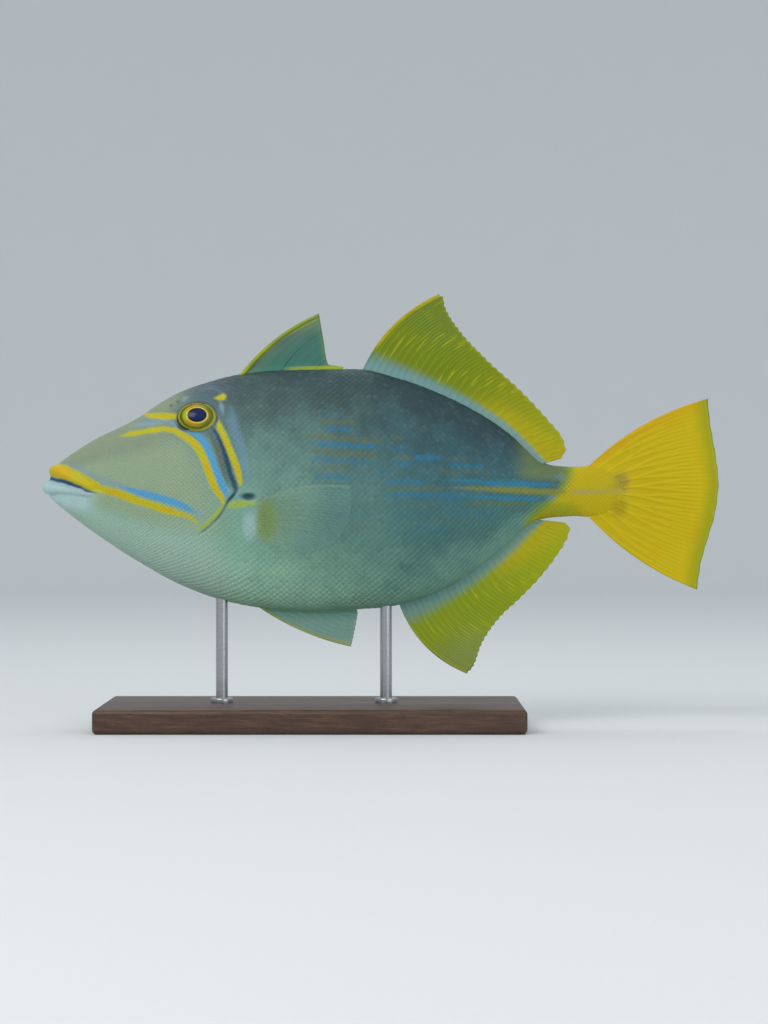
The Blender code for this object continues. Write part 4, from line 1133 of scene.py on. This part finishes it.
def eye_material():
    """Eye: a gold iris with radial threads round a deep blue pupil, darkened at its edge by painted shadow
    under the rim, under a clear wet cornea.
    """
    material, tree, shader = new_material("gold iris under clear cornea")
    away = add(tree, "Attribute", {"attribute_name": "from_pupil"}, {})["Fac"]
    turn = add(tree, "Attribute", {"attribute_name": "round"}, {})["Fac"]
    threads = add(tree, "TexNoise", {"noise_dimensions": "1D", "Scale": 5, "Detail": 3}, {"W": turn})[0]
    span = add(tree, "MapRange", {"From Min": 0, "From Max": 2.2}, {"Value": away})[0]
    ramp = tree.nodes.new("ShaderNodeValToRGB")
    tree.links.new(span, ramp.inputs[0])
    stops = ramp.color_ramp.elements
    stops[0].color = colour("#0d1a52")
    stops[1].color = colour("#3c3f10")
    # The iris darkens from 0.64 of the way out to the rim: its dark edge ring, deepened as painted shadow
    # under the rim
    for position, tone in ((0.3, "#10214f"), (0.41, "#0c1626"), (0.445, "#0a0f14"), (0.475, "#cfc55e"),
                           (0.515, "#c4b63a"), (0.56, "#978a12"), (0.64, "#8f8612"), (0.7, "#7b7a14"),
                           (0.78, "#595b14")):
        stops.new(position).color = colour(tone)
    base = ramp.outputs[0]
    for key, amount, tone in (("amber", 0.7, "#c98408"), ("lime", 0.75, "#a3b81c"),
                              ("olive", 0.6, "#55601a")):
        found = add(tree, "Attribute", {"attribute_name": key}, {})["Fac"]
        mask = add(tree, "MapRange", {"To Max": amount}, {"Value": found})[0]
        base = add(tree, "Mix", {"data_type": "RGBA", 7: colour(tone)}, {0: mask, 6: base})[2]
    streak = add(tree, "MapRange", {"From Min": 0.35, "From Max": 0.65, "To Max": 0.25},
                 {"Value": threads})[0]
    on_iris = add(tree, "MapRange", {"From Min": 1.15, "From Max": 1.3}, {"Value": away})[0]
    amount = add(tree, "Math", {"operation": "MULTIPLY"}, {0: streak, 1: on_iris})[0]
    base = add(tree, "Mix", {"data_type": "RGBA", 7: colour("#3f3a0c")}, {0: amount, 6: base})[2]
    tree.links.new(base, shader.inputs["Base Color"])
    shader.inputs["Roughness"].default_value = 0.3
    shader.inputs["Specular IOR Level"].default_value = 0.12
    shader.inputs["Coat Weight"].default_value = 0.2
    shader.inputs["Coat Roughness"].default_value = 0.02
    return material


def walnut_material():
    """Oiled walnut: long dark grain lines, broad light bands and short pores, with a low sheen."""
    material, tree, shader = new_material("oiled walnut")
    place = add(tree, "TexCoord", {}, {})["Object"]
    long_way = add(tree, "Mapping", {"Scale": (0.08, 1, 1)}, {"Vector": place})[0]
    short_way = add(tree, "Mapping", {"Scale": (0.14, 1, 1)}, {"Vector": place})[0]
    bands = add(tree, "TexNoise", {"Scale": scale_of(8.333), "Detail": 4, "Distortion": 0.6},
                {"Vector": long_way})[0]
    lines = add(tree, "TexNoise", {"Scale": scale_of(1.111), "Detail": 3}, {"Vector": long_way})[0]
    # Pores 0.4 mm wide, coarser than real ones so that they show
    pores = add(tree, "TexNoise", {"Scale": scale_of(0.3846), "Detail": 1}, {"Vector": short_way})[0]
    base = add(tree, "Mix", {"data_type": "RGBA", 6: colour("#5d4230"), 7: colour("#36241a")}, {0: bands})[2]
    for source, low, high, amount, tone in ((lines, 0.5, 0.72, 0.5, "#24160f"),
                                            (lines, 0.45, 0.3, 0.35, "#7b5a40"),
                                            (pores, 0.62, 0.72, 0.6, "#1a100b")):
        mask = add(tree, "MapRange", {"From Min": low, "From Max": high, "To Max": amount},
                   {"Value": source})[0]
        base = add(tree, "Mix", {"data_type": "RGBA", 7: colour(tone)}, {0: mask, 6: base})[2]
    tree.links.new(base, shader.inputs["Base Color"])
    gloss = add(tree, "MapRange", {"To Min": 0.38, "To Max": 0.55}, {"Value": bands})[0]
    tree.links.new(gloss, shader.inputs["Roughness"])
    bump = add(tree, "Bump", {"Strength": 0.25, "Distance": 0.0001, "invert": True}, {"Height": pores})
    tree.links.new(bump[0], shader.inputs["Normal"])
    return material


def steel_material():
    """Brushed stainless steel: fine lines round the rod spread its highlights along it."""
    material, tree, shader = new_material("brushed stainless steel")
    place = add(tree, "TexCoord", {}, {})["Object"]
    level = add(tree, "Mapping", {"Scale": (0.05, 0.05, 1)}, {"Vector": place})[0]
    # Brush lines 0.25 mm wide, coarser than real ones so that they show
    lines = add(tree, "TexNoise", {"Scale": scale_of(0.25), "Detail": 2}, {"Vector": level})[0]
    base = add(tree, "Mix", {"data_type": "RGBA", 6: colour("#b9bbbd"), 7: colour("#9b9da0")}, {0: lines})[2]
    tree.links.new(base, shader.inputs["Base Color"])
    gloss = add(tree, "MapRange", {"To Min": 0.22, "To Max": 0.38}, {"Value": lines})[0]
    tree.links.new(gloss, shader.inputs["Roughness"])
    shader.inputs["Metallic"].default_value = 1.0
    bump = add(tree, "Bump", {"Strength": 0.08, "Distance": 0.00005}, {"Height": lines})
    tree.links.new(bump[0], shader.inputs["Normal"])
    return material


def paper_material():
    """Backdrop paper: pale, matte and even, with a faint fibre that only shows close up."""
    material, tree, shader = new_material("pale backdrop paper")
    place = add(tree, "TexCoord", {}, {})["Object"]
    fibre = add(tree, "TexNoise", {"Scale": scale_of(2.5), "Detail": 2}, {"Vector": place})[0]
    base = add(tree, "Mix", {"data_type": "RGBA", 6: colour("#d2d5d6"), 7: colour("#d6d9da")}, {0: fibre})[2]
    tree.links.new(base, shader.inputs["Base Color"])
    shader.inputs["Roughness"].default_value = 0.95
    shader.inputs["Specular IOR Level"].default_value = 0.1
    return material


# Stage, lights and camera

def make_stage(material):
    """A round floor that curves up into a wall, so that no horizon shows from any side."""
    deselect()
    bpy.ops.mesh.primitive_grid_add(x_subdivisions=96, y_subdivisions=60, size=2)
    stage = bpy.context.object
    stage.name = "floor"
    flat = points_of(stage)
    turn = (flat[:, 0] + 1) * pi
    run = (flat[:, 1] + 1) / 2 * STAGE_RUN
    bend = np.clip((run - FLOOR_RADIUS) / FLOOR_BEND, 0, pi / 2)
    reach = np.minimum(run, FLOOR_RADIUS) + FLOOR_BEND * np.sin(bend)
    wall = np.maximum(run - FLOOR_RADIUS - FLOOR_BEND * pi / 2, 0)
    height = FLOOR_BEND * (1 - np.cos(bend)) + wall
    set_points(stage, np.stack([reach * np.cos(turn), reach * np.sin(turn), height], 1))
    apply_modifier(stage, "WELD", merge_threshold=0.00001)
    stage.data.materials.append(material)
    stage.data.shade_smooth()


def soft_light(name, place, target, size, power, tone):
    data = bpy.data.lights.new(name, "AREA")
    data.shape = "RECTANGLE"
    data.size, data.size_y = size
    data.energy = power
    data.color = colour(tone)[:3]
    light = bpy.data.objects.new(name, data)
    light.location = place
    light.rotation_euler = (Vector(target) - Vector(place)).to_track_quat("-Z", "Y").to_euler()
    bpy.context.scene.collection.objects.link(light)


def make_lights():
    world = bpy.data.worlds.new("studio")
    bpy.context.scene.world = world
    world.use_nodes = True
    background = world.node_tree.nodes["Background"]
    background.inputs["Color"].default_value = colour("#e4ebf0")
    background.inputs["Strength"].default_value = 0.95
    middle = (0, 0, 0.12)
    soft_light("key", (-0.8, -1.3, 1.2), middle, (1.0, 0.8), 14, "#fff7ee")
    soft_light("fill", (1.2, -1.5, 0.5), middle, (1.2, 1.0), 6, "#eef5ff")
    soft_light("top", (0.1, 0.6, 1.6), middle, (1.2, 0.8), 4, "#ffffff")


def make_camera():
    data = bpy.data.cameras.new("camera")
    data.sensor_width = 36
    data.lens = 105.5
    data.clip_start = 0.05
    camera = bpy.data.objects.new("camera", data)
    camera.location = Vector(CAMERA_PLACE) * MM
    camera.rotation_euler = (radians(90), 0, 0)
    bpy.context.scene.collection.objects.link(camera)
    bpy.context.scene.camera = camera
    bpy.context.scene.view_settings.view_transform = "Standard"


make_stage(paper_material())
make_lights()
make_camera()
skin_surface = make_skin(flesh_material("triggerfish skin", False))
scale_finish = flesh_material("triggerfish scales", True)
for side_name, side in SIDES:
    for start, on_head, span, nodes in SCALE_PIECES:
        make_scales(start + side_name, side, on_head, span, nodes, scale_finish, skin_surface)
make_fins({fin: fin_material(*finish) for fin, finish in FIN_FINISHES.items()})
eye_finish = eye_material()
for side_name, side in SIDES:
    make_eye(side_name, side, eye_finish)
make_base(walnut_material())
make_rods(steel_material())
